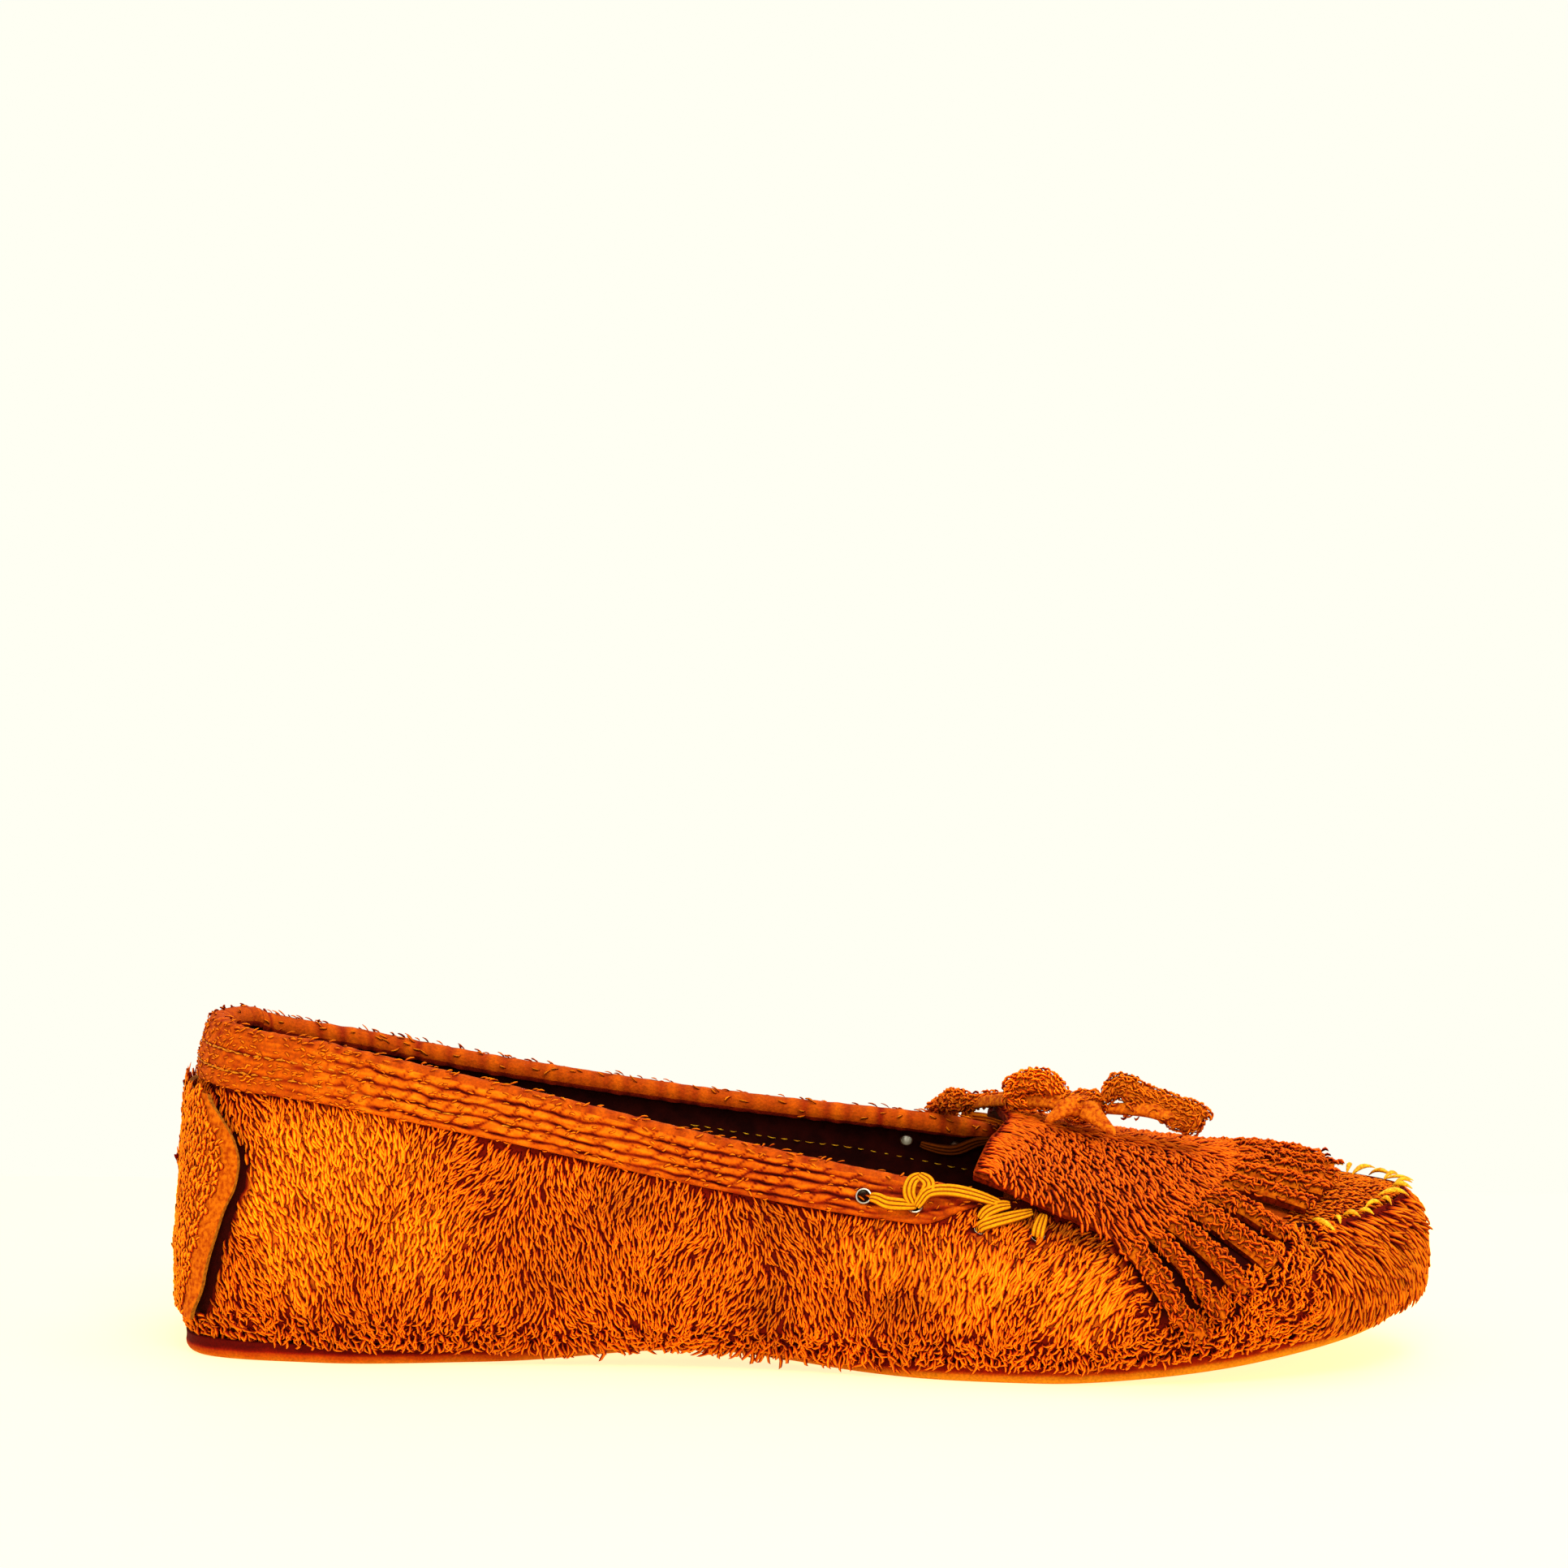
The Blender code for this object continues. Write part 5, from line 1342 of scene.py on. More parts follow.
def make_heel_flap():
    table = np.array(FLAP_ROWS[::-1])
    heights = np.linspace(table[0, 0], table[-1, 0], 60)
    widths = np.column_stack([np.interp(heights, table[:, 0], table[:, k]) for k in (1, 2, 3)])
    for k in range(3):
        padded = np.pad(widths[:, k], 2, mode="edge")
        widths[:, k] = np.convolve(padded, np.ones(5) / 5, mode="valid")
    across = np.linspace(-1, 1, 81)
    outer, inner, lay = [], [], []
    s_line = np.linspace(0, 2, 201)
    for height, (half, middle_off, edge_off) in zip(heights, widths):
        shares = across * half / GIRTH
        lines = wall_surface(shares[:, None], s_line)[..., 2]
        s = np.array([np.interp(height, line, s_line) for line in lines])
        off = middle_off + (edge_off - middle_off) * np.abs(across) ** FLAP_CURL_POWER
        inner.append(wall(shares, s, off))
        outer.append(wall(shares, s, off + FLAP_THIN * FLAP_THICKNESS))
        lay.append(wall_tangents(shares, s)[1])
    outer, inner, lay = (np.concatenate(v) for v in (outer, inner, lay))
    faces = grid_faces(len(heights), len(across))
    made = new_sheet("heel_flap_leather", outer, inner, faces, [FLAP_SKIN, CUT_EDGE], (0, 0, 1))
    belongs(sharpen(made, 45), "suede", "heel_flap")

    half = np.repeat(widths[:, 0], len(across))
    aside = np.abs(np.tile(across, len(heights))) * half
    middle = bump_out(aside, 7.0)
    values = {
        "lay": lay,
        "stand": 0.04 + middle * 0.95 * np.maximum(wobble(outer, 7.0, 23.0), 0),
        "long": 0.8 + 0.6 * middle,
        "nap": half - aside >= FLAP_BARE,
        "patch": 1.04,
        "rubbed": 0.6,
    }
    scattered("heel_flap_nap", outer, faces, values, FLAP_NAP, NAP_WALL, "suede")


# Fringed flap
FAN_ROWS, STRIP_ROWS, STRIP_COLUMNS = 26, 26, 6
FAN_THIN = 0.8  # of the solid's thickness
FAN_NAP = Scatter(NAP_TREE, 0.90, 3.5, 0.84, 0.75, 0.10, 31)
FRINGE_NAP = Scatter(CURL_TREE, 0.62, 1.7, 0.75, 0.75, 0.6, 32)


def edge_lift(angle):
    side = np.where(np.asarray(angle) < 0, FAN_EDGE_LIFT["near"], FAN_EDGE_LIFT["far"])
    return side * np.clip((np.abs(angle) - STRIPS[-3].cut) / (FAN_CORNER - STRIPS[-1].cut), 0, 1)


def fan_sheet():
    """Angles, radii, lifts, nearness to a strip's edge and faces of all points of the fringed flap."""
    cuts = [0.0] + [strip.cut for strip in STRIPS]
    half = [0.0]
    for a, b in zip(cuts, cuts[1:]):
        half += list(np.linspace(a, b, STRIP_COLUMNS + 1)[1:])
    half += list(np.linspace(cuts[-1], FAN_CORNER, 17)[1:])
    angles = np.array([-angle for angle in reversed(half[1:])] + half)
    t = np.linspace(0, 1, FAN_ROWS + 1)[:, None]
    rear, front = rear_radius(angles), front_radius(angles)
    radius = rear + (front - rear) * t
    lift = np.maximum(edge_lift(angles), FAN_REAR_LIFT * (1 - t) ** 2)
    angle, radius, lift = (v.ravel().tolist() for v in np.broadcast_arrays(angles, radius, lift))
    edge = [0.0] * len(angle)
    faces = grid_faces(FAN_ROWS + 1, len(angles), flip=True)
    root_row = FAN_ROWS * len(angles)
    middle_column = len(half) - 1
    for sign in (-1, 1):
        for number, (strip, inner) in enumerate(zip(STRIPS, cuts)):
            first = middle_column + sign * number * STRIP_COLUMNS
            before = [root_row + first + sign * k for k in range(STRIP_COLUMNS + 1)]
            centre, half_cut = (inner + strip.cut) / 2, (strip.cut - inner) / 2
            for row in range(1, STRIP_ROWS + 1):
                t = row / STRIP_ROWS
                far = FAN_ROOT + (strip.tip - FAN_ROOT) * t
                narrow = 1 + (STRIP_WIDTH - 1) * min(1.0, 5 * t)
                reach = (half_cut * narrow - abs(strip.slack) * t) * FAN_ROOT / far
                curl = edge_lift(centre * sign) + strip.lift * math.sin(math.pi * min(0.75, t))
                after = []
                for k in range(STRIP_COLUMNS + 1):
                    share = 2 * k / STRIP_COLUMNS - 1
                    wave = 0.5 * half_cut * 0.12 * math.sin(7 * t + number * 2.1 + sign)
                    after.append(len(angle))
                    angle.append(sign * (centre + strip.slack * t + share * reach) + wave * t)
                    radius.append(far)
                    lift.append(curl + (0.6 - 1.3 * share**2) * min(1.0, 4 * t))
                    edge.append(abs(share))
                for k in range(STRIP_COLUMNS):
                    face = (before[k], after[k], after[k + 1], before[k + 1])
                    faces.append(face if sign > 0 else face[::-1])
                before = after
    return np.array(angle), np.array(radius), np.array(lift), np.array(edge), faces


def make_kilty():
    angle, radius, lift, edge, faces = fan_sheet()
    high, up = fan_points(angle, radius, FAN_REST + lift + FAN_THICKNESS * FAN_THIN)
    low, _ = fan_points(angle, radius, FAN_REST + lift)
    on_strip = radius > FAN_ROOT
    made = new_sheet("kilty_leather", high, low, faces, [FLAP_GROUND, FLAP_BACK, FLAP_SKIN], (0, 1, 1))
    for polygon, face in zip(made.data.polygons, faces):
        polygon.material_index = 2 if on_strip[face[0]] else 0
    belongs(sharpen(made, 45), "suede_flap", "kilty")

    outward = unit(fan_points(angle, radius + 1.0, FAN_REST + lift)[0] - low)
    sideways = np.cross(up, outward)
    side = np.sign(angle) * smooth_step(np.abs(angle), 0.0, 8.0)
    spread = smooth_step(radius - rear_radius(angle), 2.0, 10.0) * (1 - 0.5 * smooth_step(radius, 44.0, 53.0))
    aim = np.radians((20.0 + 52.0 * spread) * side - angle)
    heading = (0.3 + 0.9 * on_strip) * wobble(high, 4.0, 12.0) + aim * (1 - on_strip)
    off_edge = (np.abs(angle) < STRIPS[-1].cut) | (radius < front_radius(angle) - 1.2)
    values = {
        "lay": outward * np.cos(heading)[:, None] + sideways * np.sin(heading)[:, None],
        "stand": 0.10 + 0.04 * wobble(high, 6.0, 14.0) + 0.05 * on_strip,
        "long": 1.0,
        "nap": ~on_strip & off_edge,
        "patch": 0.99 + 0.16 * wobble(high, 12.0, 16.0),
    }
    scattered("kilty_nap", high, faces, values, FAN_NAP, NAP_FLAP, "suede_flap")
    tips = radius > min(strip.tip for strip in STRIPS) - 0.5
    values["nap"] = on_strip * np.where(tips, 0.6, 1.0) * (edge < 0.84)
    scattered("fringe_curls", high, faces, values, FRINGE_NAP, NAP_FLAP, "suede_flap")


# Sole and insole
SOLE_ROUND = 1.5  # radius of its lower edge
INSOLE_TUCK, INSOLE_INSET = 0.70, 3.0  # it lies inside the wall: share of the wall's tuck, and more
INSOLE_SIDE, INSOLE_THICKNESS, INSOLE_ROUND = 1.6, 2.0, 0.6


def ring_faces(rings, count):
    faces = grid_faces(rings, count, closed=True)

    def cap(start):
        half, end = count // 2, start + count
        ladder = [(start, start + 1, end - 1)]
        ladder += [(start + i, start + i + 1, end - i - 1, end - i) for i in range(1, half - 1)]
        return ladder + [(start + half - 1, start + half, start + half + 1)]

    return faces + [face[::-1] for face in cap(0)] + cap((rings - 1) * count)


def make_sole():
    shares = matched_shares(320)
    sole = section_values(shares)[:, 6]
    rings, glow = [], []
    # Glow of the edge: a painted highlight on the rounded lower rim, falling to painted shadow of the nap
    # along the top
    for turn in np.linspace(0, math.pi / 2, 6):
        line = inset_line(shares, sole + SOLE_ROUND * (1 - math.sin(turn)))
        rings.append(np.column_stack([line, sole_bottom(line[:, 0]) + SOLE_ROUND * (1 - math.cos(turn))]))
        glow.append(1.0 - 0.9 * turn / math.pi)
    for share in (0.3, 0.55, 0.75, 0.95):
        line = inset_line(shares, sole + 0.12 * math.sin(math.pi * share))
        bottom, top = sole_bottom(line[:, 0]) + SOLE_ROUND, sole_top(line[:, 0])
        rings.append(np.column_stack([line, bottom + (top - bottom) * share]))
        glow.append(0.18 - 0.30 * share)
    line = inset_line(shares, sole + 0.2)
    rings.append(np.column_stack([line, sole_top(line[:, 0])]))
    glow.append(0.05)
    points, faces = np.concatenate(rings), ring_faces(len(rings), len(shares))
    shine = np.repeat(glow, len(shares)) + 0.12 * wobble(points, 3.0, 30.0)
    shine += 0.26 * smooth_step(points[:, 0], 0.0, 40.0)
    made = new_object("rubber_sole", points, faces, [SOLE], attributes={"glow": np.clip(shine, 0, 1)})
    belongs(sharpen(made, 50), "rubber", "outsole")


def make_insole():
    shares = matched_shares(200)
    inset = section_values(shares)[:, 2] * INSOLE_TUCK + INSOLE_INSET
    rings = []
    for further, rise in ((0.0, 0.0), (0.0, INSOLE_SIDE), (INSOLE_ROUND, INSOLE_THICKNESS)):
        line = inset_line(shares, inset + further)
        rings.append(np.column_stack([line, sole_top(line[:, 0]) + GAP + WALL + GAP + rise]))
    made = new_object("insole_leather", np.concatenate(rings), ring_faces(len(rings), len(shares)), [SOCK])
    belongs(sharpen(made, 50), "insole_leather", "insole")


# Eyelets
def make_eyelets():
    """A rolled ring through the leather in each hole: bore, barrel, flange and rounded rim."""
    sides = 28
    for side in SIDES:
        for number, eyelet in enumerate(EYELETS, 1):
            through = WALL + 2 * GAP + (COLLAR_THICKNESS + COLLAR_PUFF + GAP if eyelet.on_collar else 0.0)
            flange = EYELET_FLANGE if eyelet.on_collar else EYELET_FLANGE - 0.2
            profile = (
                (EYELET_BORE, -through),
                (EYELET_BARREL, -through),
                (EYELET_BARREL, 0.0),
                (flange, 0.0),
                (flange, 0.18),
                (flange - 0.12, 0.40),
                ((flange + EYELET_BORE) / 2, EYELET_RIM),
                (EYELET_BORE + 0.15, 0.42),
                (EYELET_BORE, 0.1),
            )
            rows = turned(eyelet_frame(eyelet, side), profile, sides)
            count = len(profile)
            faces = []
            for k in range(sides):
                row, after = k * count, (k + 1) % sides * count
                for j in range(count):
                    following = (j + 1) % count
                    faces.append((row + j, after + j, after + following, row + following))
            made = new_object(f"eyelet_ring_{side}_{number}", rows, faces, [PLATED])
            belongs(sharpen(made, 50), "eyelet_metal", f"eyelet_{side}_{number}")


# Lace and bow
def through_points(points, count):
    """A smooth curve through points, evenly spaced, as count + 1 points."""
    points = np.asarray(points, float)
    padded = np.concatenate([[2 * points[0] - points[1]], points, [2 * points[-1] - points[-2]]])
    dense = []
    for a, b, c, d in zip(padded, padded[1:], padded[2:], padded[3:]):
        t = np.linspace(0, 1, 24, endpoint=False)[:, None]
        bend = (2 * a - 5 * b + 4 * c - d) * t**2 + (3 * b - a - 3 * c + d) * t**3
        dense.append((2 * b + (c - a) * t + bend) / 2)
    dense = np.concatenate(dense + [points[-1:]])
    run = np.concatenate([[0], np.cumsum(np.linalg.norm(np.diff(dense[:, :3], axis=0), axis=1))])
    even = np.linspace(0, run[-1], count + 1)
    return np.column_stack([np.interp(even, run, dense[:, k]) for k in range(dense.shape[1])])


def ribbon(line, across, section, swell):
    """Points, faces and directions of a strap: a closed section along the line, scaled by its swell."""
    along = unit(np.gradient(line, axis=0))
    across = unit(across - along * np.sum(across * along, axis=1)[:, None])
    up = np.cross(across, along)
    rows = zip(line, across, up, swell)
    points = np.array([p + (w * x + u * z) * k for p, w, u, k in rows for x, z in section])
    return points, tube_faces(len(line), len(section)), along


LACE_WIDTH, LACE_THICKNESS = 2.7, 0.9
ON_COLLAR = GAP + COLLAR_THICKNESS + COLLAR_PUFF + GAP + EYELET_RIM + GAP + LACE_THICKNESS / 2
ON_WALL = GAP + EYELET_RIM + GAP + LACE_THICKNESS / 2
LACE_STEPS = 40  # rows of points along a strand
# Strands inside the shoe get a low glow as painted shade
LACE_SHADE = 0.3  # glow of what runs inside the shoe
LacePoint = namedtuple("LacePoint", "x depth out")
LACE_STRANDS = {
    "run": (
        (
            LacePoint(15.8, 4.9, ON_COLLAR - 1.0),
            LacePoint(16.3, 4.9, ON_COLLAR - 0.2),
            LacePoint(17.4, 5.1, ON_COLLAR + 0.2),
            LacePoint(19.5, 5.6, ON_COLLAR),
            LacePoint(23.2, 5.4, ON_COLLAR),
            LacePoint(24.6, 5.0, ON_COLLAR - 1.0),
        ),
        (
            LacePoint(24.5, 5.4, ON_COLLAR - 0.8),
            LacePoint(23.2, 3.4, ON_COLLAR + 0.7),
            LacePoint(23.4, 1.0, ON_COLLAR + 0.8),
            LacePoint(24.9, -0.6, ON_COLLAR + 0.3),
        ),
        (
            LacePoint(24.6, -0.5, ON_COLLAR + 0.6),
            LacePoint(26.4, 0.8, ON_COLLAR + 1.2),
            LacePoint(26.6, 2.4, ON_COLLAR + 1.2),
            LacePoint(25.0, 5.2, ON_COLLAR),
        ),
        (
            LacePoint(24.9, 5.4, ON_COLLAR - 0.2),
            LacePoint(26.8, 3.0, ON_COLLAR + 1.4),
            LacePoint(30.5, 1.7, ON_COLLAR + 0.6),
            LacePoint(35.0, 1.5, ON_COLLAR - 0.2),
            LacePoint(40.5, 1.9, ON_WALL + 0.4),
        ),
        (
            LacePoint(37.3, 7.2, -2.0),
            LacePoint(37.5, 7.0, ON_WALL - 0.3),
            LacePoint(39.5, 6.0, ON_WALL + 0.1),
            LacePoint(42.5, 4.6, ON_WALL),
            LacePoint(47.0, 2.6, ON_WALL - 0.1),
        ),
        (
            LacePoint(37.2, 5.6, ON_WALL),
            LacePoint(38.4, 4.0, ON_WALL + 0.3),
            LacePoint(40.6, 2.6, ON_WALL + 0.4),
            LacePoint(42.6, 1.9, ON_WALL + 0.2),
        ),
    ),
    "inside": (
        (
            LacePoint(17.4, 4.9, -WALL - 0.8),
            LacePoint(19.0, 5.2, -WALL - 1.0),
            LacePoint(22.0, 5.6, -WALL - 1.0),
            LacePoint(25.0, 5.0, -WALL - 1.0),
            LacePoint(30.0, 1.8, -WALL - 1.2),
            LacePoint(35.0, 0.2, -WALL - 1.2),
        ),
    ),
    "bar": (
        (
            LacePoint(48.4, 7.2, -2.0),
            LacePoint(48.5, 7.0, ON_WALL - 0.3),
            LacePoint(48.7, 5.4, ON_WALL),
            LacePoint(49.2, 2.8, ON_WALL - 0.2),
        ),
    ),
}


def lace_section(width, thickness, ribs=3):
    """Section of a flat woven lace with the ridges of its yarns on both faces, and the glow of each point: a
    painted highlight on the ridges, painted shade between them.
    """
    half, glow = [], []
    for share in np.linspace(0.96, -0.96, 6 * ribs + 1):
        ridge = abs(math.sin(math.pi * (share + 1) / 2 * ribs)) ** 0.8
        rounded = (1 - abs(share) ** 6) ** 0.5
        half.append((share * width / 2, thickness / 2 * (0.60 + 0.40 * ridge) * rounded))
        glow.append(0.95 * ridge)
    return half + [(-x, -z) for x, z in half], glow + glow


def on_side(x, side):
    if side == "near":
        return x
    return np.interp(x, [eyelet.near_x for eyelet in EYELETS], [eyelet.far_x for eyelet in EYELETS])


def lace_strand(strand, side, section):
    """Points and faces of one strand, drawn in where it dips through an eyelet or under the flap."""
    at = np.array([edge_share(on_side(point.x, side), side) for point in strand])
    depth = np.array([point.depth for point in strand])
    out = np.array([point.out for point in strand])
    spots = below_edge(at, depth, out)
    outward = unit(below_edge(at, depth, out + 1) - spots)
    rows = through_points(np.column_stack([spots, outward]), LACE_STEPS)
    line = rows[:, :3]
    across = np.cross(np.gradient(line, axis=0), rows[:, 3:])
    drawn_in = 0.55 + 0.45 * np.sin(np.linspace(0, math.pi, len(line))) ** 0.6
    return ribbon(line, across, section, drawn_in)[:2]


def make_lace():
    section, ribs = lace_section(LACE_WIDTH, LACE_THICKNESS)
    for side in SIDES:
        for part in ("run", "bar"):
            strands = [(strand, 1.0) for strand in LACE_STRANDS[part]]
            if part == "run":
                strands += [(strand, LACE_SHADE) for strand in LACE_STRANDS["inside"]]
            points, faces = joined(lace_strand(strand, side, section) for strand, _ in strands)
            glow = np.concatenate([shine * np.tile(ribs, LACE_STEPS + 1) for _, shine in strands])
            made = new_object(f"lace_{side}_{part}_woven", points, faces, [LACE], attributes={"glow": glow})
            belongs(sharpen(made, 50), "flat_lace", f"lace_{side}_{part}")


BOW_WIDTH, BOW_THICKNESS = 4.6, 2.4
KNOT_RADIUS, KNOT_RISE = 4.5, 2.9
STRAP_STEPS, STRAND_STEPS = 48, 24  # rows of points along a strap and along a strand of the knot
BOW_NAP = Scatter(CURL_TREE, 0.54, 1.5, 0.58, 0.6, 1.2, 41)
BowPoint = namedtuple("BowPoint", "x y z across_x across_y across_z")
# Way of each strap; how wide it is and how thick its nap, by share of the way; and how light it is
Strap = namedtuple("Strap", "path swell nap tone")
STRAPS = {
    "bow_loop_rear": Strap(
        path=(
            BowPoint(51.6, 0.5, 49.6, 0.3, 1.0, 0.5),
            BowPoint(48.6, 2.0, 52.0, 0.3, 0.7, 0.7),
            BowPoint(45.0, 4.2, 52.2, 0.2, 0.6, 0.9),
            BowPoint(41.6, 6.6, 50.4, -0.3, 0.6, 0.9),
            BowPoint(42.0, 6.4, 48.8, 0.1, 0.7, 0.7),
            BowPoint(45.8, 4.6, 48.2, 0.2, 0.8, 0.6),
            BowPoint(50.3, 2.0, 48.0, 0.3, 1.0, 0.3),
        ),
        swell=((0.0, 0.25, 0.6, 1.0), (0.8, 1.0, 1.0, 0.7)),
        nap=((0.0, 0.6, 0.7, 1.0), (1.0, 1.0, 0.5, 0.4)),
        tone=1.5,
    ),
    "bow_loop_front": Strap(
        path=(
            BowPoint(59.8, -1.0, 50.0, 0.2, 0.9, 0.5),
            BowPoint(62.6, -1.6, 52.6, 0.1, 0.7, 0.8),
            BowPoint(67.4, -3.2, 50.6, 0.3, 0.6, 0.9),
            BowPoint(73.8, -5.0, 48.6, 0.3, 0.6, 0.9),
            BowPoint(78.4, -6.0, 47.4, 0.9, 0.6, 0.5),
            BowPoint(76.0, -6.6, 46.2, 0.1, 0.8, 0.6),
            BowPoint(69.0, -6.2, 48.4, 0.0, 0.8, 0.6),
            BowPoint(60.5, -3.0, 48.2, 0.1, 0.9, 0.4),
        ),
        swell=((0.0, 0.2, 0.55, 0.65, 1.0), (0.9, 1.0, 1.0, 0.8, 0.6)),
        nap=((0.0, 0.6, 0.7, 1.0), (1.0, 1.0, 0.2, 0.15)),
        tone=0.84,
    ),
    "bow_end_far": Strap(
        path=(
            BowPoint(54.0, 4.0, 48.2, 0.3, 0.5, 0.9),
            BowPoint(48.0, 9.0, 47.6, 0.2, 0.5, 0.9),
            BowPoint(39.0, 17.5, 46.6, 0.1, 0.5, 0.9),
            BowPoint(31.0, 24.5, 44.8, 0.1, 0.6, 0.9),
            BowPoint(27.4, 31.0, 44.0, 0.5, 0.3, 0.8),
            BowPoint(25.0, 36.6, 41.6, 1.0, 0.2, 0.3),
        ),
        swell=((0.0, 0.6, 0.8, 1.0), (0.6, 0.6, 0.85, 0.95)),
        nap=((0.0, 0.5, 0.7, 1.0), (0.3, 0.4, 1.0, 1.0)),
        tone=0.95,
    ),
}
# Strands of the knot's piece: the two tips of the short end, and one that passes in front of the rear loop
Strand = namedtuple("Strand", "path taper")
TAPER_AT = (0.0, 0.3, 0.9, 1.0)
KNOT_STRANDS = (
    Strand(
        path=(
            BowPoint(56.0, -3.0, 48.6, 0.1, 0.7, 0.7),
            BowPoint(53.0, -6.0, 49.0, 0.1, 0.7, 0.7),
            BowPoint(50.6, -8.0, 47.8, 0.1, 0.7, 0.7),
            BowPoint(48.4, -9.0, 46.4, 0.1, 0.7, 0.7),
        ),
        taper=(0.6, 0.95, 0.4, 0.15),
    ),
    Strand(
        path=(
            BowPoint(55.0, -3.6, 48.4, 0.1, 0.7, 0.7),
            BowPoint(57.0, -7.2, 48.2, 0.1, 0.7, 0.7),
            BowPoint(59.6, -10.4, 46.6, 0.1, 0.7, 0.7),
            BowPoint(62.2, -12.6, 44.6, 0.1, 0.7, 0.7),
        ),
        taper=(0.6, 0.95, 0.4, 0.15),
    ),
    Strand(
        path=(
            BowPoint(33.0, 22.0, 44.9, 0.1, 0.5, 0.9),
            BowPoint(38.0, 14.0, 46.8, 0.1, 0.5, 0.9),
            BowPoint(43.0, 6.0, 48.2, 0.1, 0.5, 0.9),
            BowPoint(48.0, 0.5, 48.9, 0.1, 0.6, 0.8),
            BowPoint(53.0, -2.0, 48.2, 0.1, 0.7, 0.7),
        ),
        taper=(0.5, 0.55, 0.55, 0.5),
    ),
)


def strap_section(width, thickness):
    turn = np.linspace(0, 2 * math.pi, 16, endpoint=False)
    return [
        (width / 2 * math.copysign(abs(c) ** 0.6, c), thickness / 2 * math.copysign(abs(s) ** 0.7, s))
        for c, s in zip(np.cos(turn), np.sin(turn))
    ]


def knot_ball():
    """Points of the knot, creased where straps cross it, its quads and its two end faces."""
    rings, around = 14, 24
    points = []
    for i in range(rings + 1):
        lift = math.pi * (i + 0.02) / (rings + 0.04) - math.pi / 2
        reach, rise = KNOT_RADIUS * math.cos(lift) ** 0.7, KNOT_RISE * math.sin(lift)
        for j in range(around):
            turn = 2 * math.pi * j / around
            crease = 1 - 0.10 * bump_out(math.sin(turn * 1.5 + 1.2 * lift), 0.3)
            spoke = np.array([reach * math.cos(turn), reach * math.sin(turn), rise])
            points.append(KNOT_CENTRE + spoke * crease)
    ends = [tuple(reversed(range(around))), tuple(rings * around + j for j in range(around))]
    return points, grid_faces(rings + 1, around, closed=True), ends


def make_bow():
    section = strap_section(BOW_WIDTH, BOW_THICKNESS)
    napped_parts, knot_parts, cords = [], [], {}
    lay, thick, shade = [], [], []
    for name, strap in STRAPS.items():
        rows = through_points(strap.path, STRAP_STEPS)
        way = np.linspace(0, 1, len(rows))
        points, faces, along = ribbon(rows[:, :3], rows[:, 3:], section, np.interp(way, *strap.swell))
        napped_parts.append((points, [face for face in faces if len(face) == 4]))
        lay += list(np.repeat(along, len(section), axis=0))
        thick += list(np.repeat(np.interp(way, *strap.nap), len(section)))
        # Patch of each strap: its tone, with painted shade on its underside and a painted highlight on its
        # top
        shade += list(strap.tone + 0.12 * (points[:, 2] - np.repeat(rows[:, 2], len(section))))
        if name == "bow_loop_rear":
            knot_parts.append((points, faces))
        else:
            cords[name] = (new_object(f"{name}_thong", points, faces, [STRAP]), rows[:, :3])
    for strand in KNOT_STRANDS:
        rows = through_points(strand.path, STRAND_STEPS)
        swell = np.interp(np.linspace(0, 1, len(rows)), TAPER_AT, strand.taper)
        knot_parts.append(ribbon(rows[:, :3], rows[:, 3:], section, swell)[:2])
    ball, quads, ends = knot_ball()
    knot = new_object("bow_knot_thong", *joined(knot_parts + [(ball, quads + ends)]), [STRAP])
    belongs(sharpen(knot, 60), "suede_strap", "bow_knot", "bow_loop_rear", "bow_end_near")
    for name, (made, path) in cords.items():
        belongs(sharpen(made, 60), "suede_strap", name)
    points, faces = joined(napped_parts + [(ball, quads)])
    values = {
        "lay": np.array(lay + [(1.0, 0.3, 0.2)] * len(ball)),
        "stand": 0.02,
        "long": 1.0,
        "nap": np.array(thick + [0.5] * len(ball)),
        "patch": np.array(shade + [1.0] * len(ball)),
        "rubbed": 0.25,
    }
    scattered("bow_nap", points, faces, values, BOW_NAP, NAP_STRAP, "suede_strap")


# Stitches
def stitch_object(number, bend):
    """One thread of unit length along X that arches over the seam, with its ends drawn in."""
    rings, sides = 7, 6
    points = []
    for x in np.linspace(-0.5, 0.5, rings):
        swell = 0.5 * (0.25 + 0.75 * math.cos(math.pi * x))
        rise = 1.2 * (0.25 - x * x) * 4
        for k in range(sides):
            turn = 2 * math.pi * k / sides
            points.append((x, bend * x + swell * math.cos(turn), rise + swell * math.sin(turn)))
    mesh = bpy.data.meshes.new(f"stitch_{number}")
    mesh.from_pydata(points, [], tube_faces(rings, sides))
    mesh.shade_smooth()
    return bpy.data.objects.new(f"stitch_{number}", mesh)


STITCH_BENDS = (0.0, 0.5, -0.4)
STITCH_SHAPES = shape_collection("stitches", [stitch_object(k, bend) for k, bend in enumerate(STITCH_BENDS)])
STITCH_TREE = scatter_tree("stitches", STITCH_SHAPES, on_faces=False)
WHIP_STITCH = Scatter(STITCH_TREE, 0.0, 1.0, 1.25, 0.9, 0.1, 61)
LINING_STITCH = Scatter(STITCH_TREE, 0.0, 1.4, 0.24, 0.2, 0.1, 62)
BAND_STITCH = Scatter(STITCH_TREE, 0.0, 2.0, 0.40, 0.3, 0.1, 63)
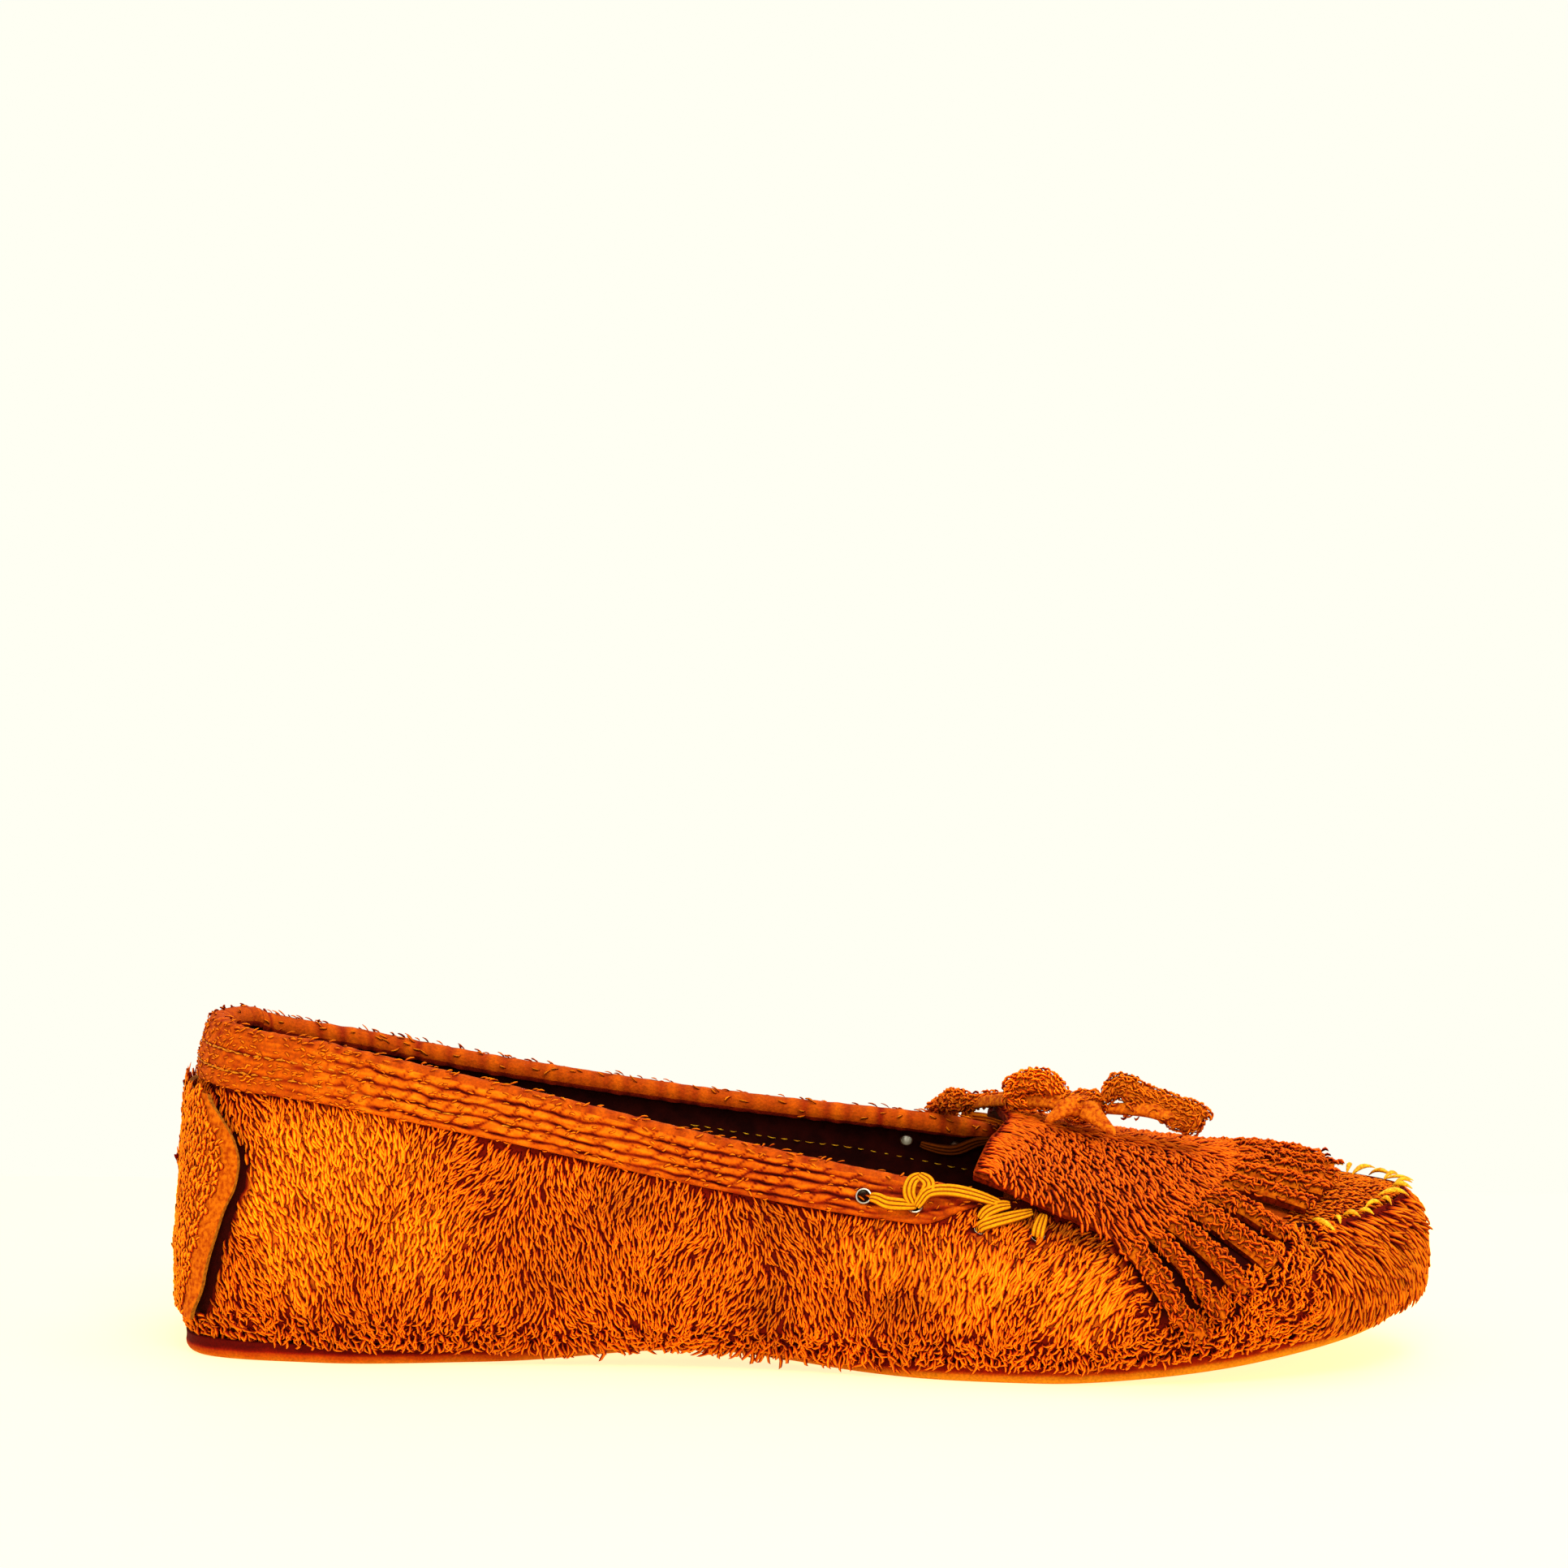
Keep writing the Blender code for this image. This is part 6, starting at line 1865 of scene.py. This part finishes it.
# Seam stitches of the toe: place along the seam, drop below it, reach over it and along it
Whip = namedtuple("Whip", "run drop across along")
WHIPS = (
    Whip(-33.0, 1.8, 6.3, 0.8),
    Whip(-28.4, 1.0, 3.7, -0.4),
    Whip(-23.3, 0.6, 3.5, 2.7),
    Whip(-19.1, 0.8, 2.6, 0.8),
    Whip(-15.9, 0.1, 1.6, 4.6),
    Whip(-11.8, 0.4, 3.0, 0.8),
    Whip(-8.0, 0.0, 3.2, 5.6),
    Whip(-3.0, 0.2, 4.4, -1.4),
    Whip(2.0, 0.1, 3.8, 2.6),
    Whip(7.0, 0.0, 4.9, -3.3),
    Whip(11.0, 0.2, 3.6, 1.4),
    Whip(15.0, 0.0, 2.2, -6.0),
    Whip(21.1, 0.0, 4.7, -0.7),
    Whip(26.0, 0.3, 3.8, 1.6),
    Whip(30.9, 0.2, 2.6, -2.7),
    Whip(35.0, 0.4, 4.4, -0.6),
)


def stitch_row(name, points, lay, outward, stitch, thread, slot, long=1.0):
    values = {"lay": unit(lay), "out": unit(outward), "stand": 0.0, "long": long}
    scattered(name, points, [], values, stitch, thread, slot)


def make_whip_stitches():
    run, drop, across, reach = np.array(WHIPS).T[:, :, None]
    at, edge = TOE + run.ravel() / GIRTH, np.full(len(WHIPS), 2.0)
    along, up = wall_tangents(at, edge)
    outward = wall_normal(at, edge)
    near = run < -5  # here they lie down the wall, elsewhere across the seam
    over = np.where(near, -up, unit(outward - 0.15 * up))
    lay = across * over + reach * along
    seam = wall(at, edge, -0.9) + np.array([0, 0, 0.9]) + drop * over + 0.4 * outward
    out, long = up + np.where(near, 2.0, 0.5) * outward, np.linalg.norm(lay, axis=1)
    stitch_row("whip_stitches", seam, lay, out, WHIP_STITCH, THREAD, "flat_lace", long)


def make_lining_stitches():
    x = np.arange(-24.0, 31.0, 2.6)
    at = np.array([edge_share(value, "far") for value in x])
    depth = np.interp(x, (-24.0, 8.0, 30.0), (6.6, 7.8, 10.8))
    line = below_edge(at, depth, -WALL - 0.12)
    out = line - below_edge(at, depth, 0.0)
    stitch_row("lining_stitches", line, np.gradient(line, axis=0), out, LINING_STITCH, THREAD, "flat_lace")


def make_band_stitches():
    rows, lays, outs = [], [], []
    for share in BAND_STITCHES:
        at = np.arange(edge_share(-52.0, "far") - 1, edge_share(-52.0, "near"), 2.7 / GIRTH)
        depth = collar_width(wall_surface(at, 2)[:, 0]) * share
        level = GAP + COLLAR_THICKNESS + COLLAR_PUFF * math.sin(math.pi * share) - 0.30
        line = below_edge(at, depth, level)
        rows.append(line)
        lays.append(np.gradient(line, axis=0))
        outs.append(below_edge(at, depth, level + 1) - line)
    line, lay, out = (np.concatenate(v) for v in (rows, lays, outs))
    stitch_row("band_stitches", line, lay, out, BAND_STITCH, BAND_THREAD, "suede_band")


set_camera()
set_studio()
make_bow()
make_lace()
make_wall()
make_wall_nap()
make_plug()
make_collar()
make_heel_flap()
make_kilty()
make_sole()
make_insole()
make_eyelets()
make_whip_stitches()
make_lining_stitches()
make_band_stitches()

for collection in (LOCK_SHAPES, CURL_SHAPES, STITCH_SHAPES):
    for shape in list(collection.objects):
        bpy.data.objects.remove(shape)
    bpy.data.collections.remove(collection)
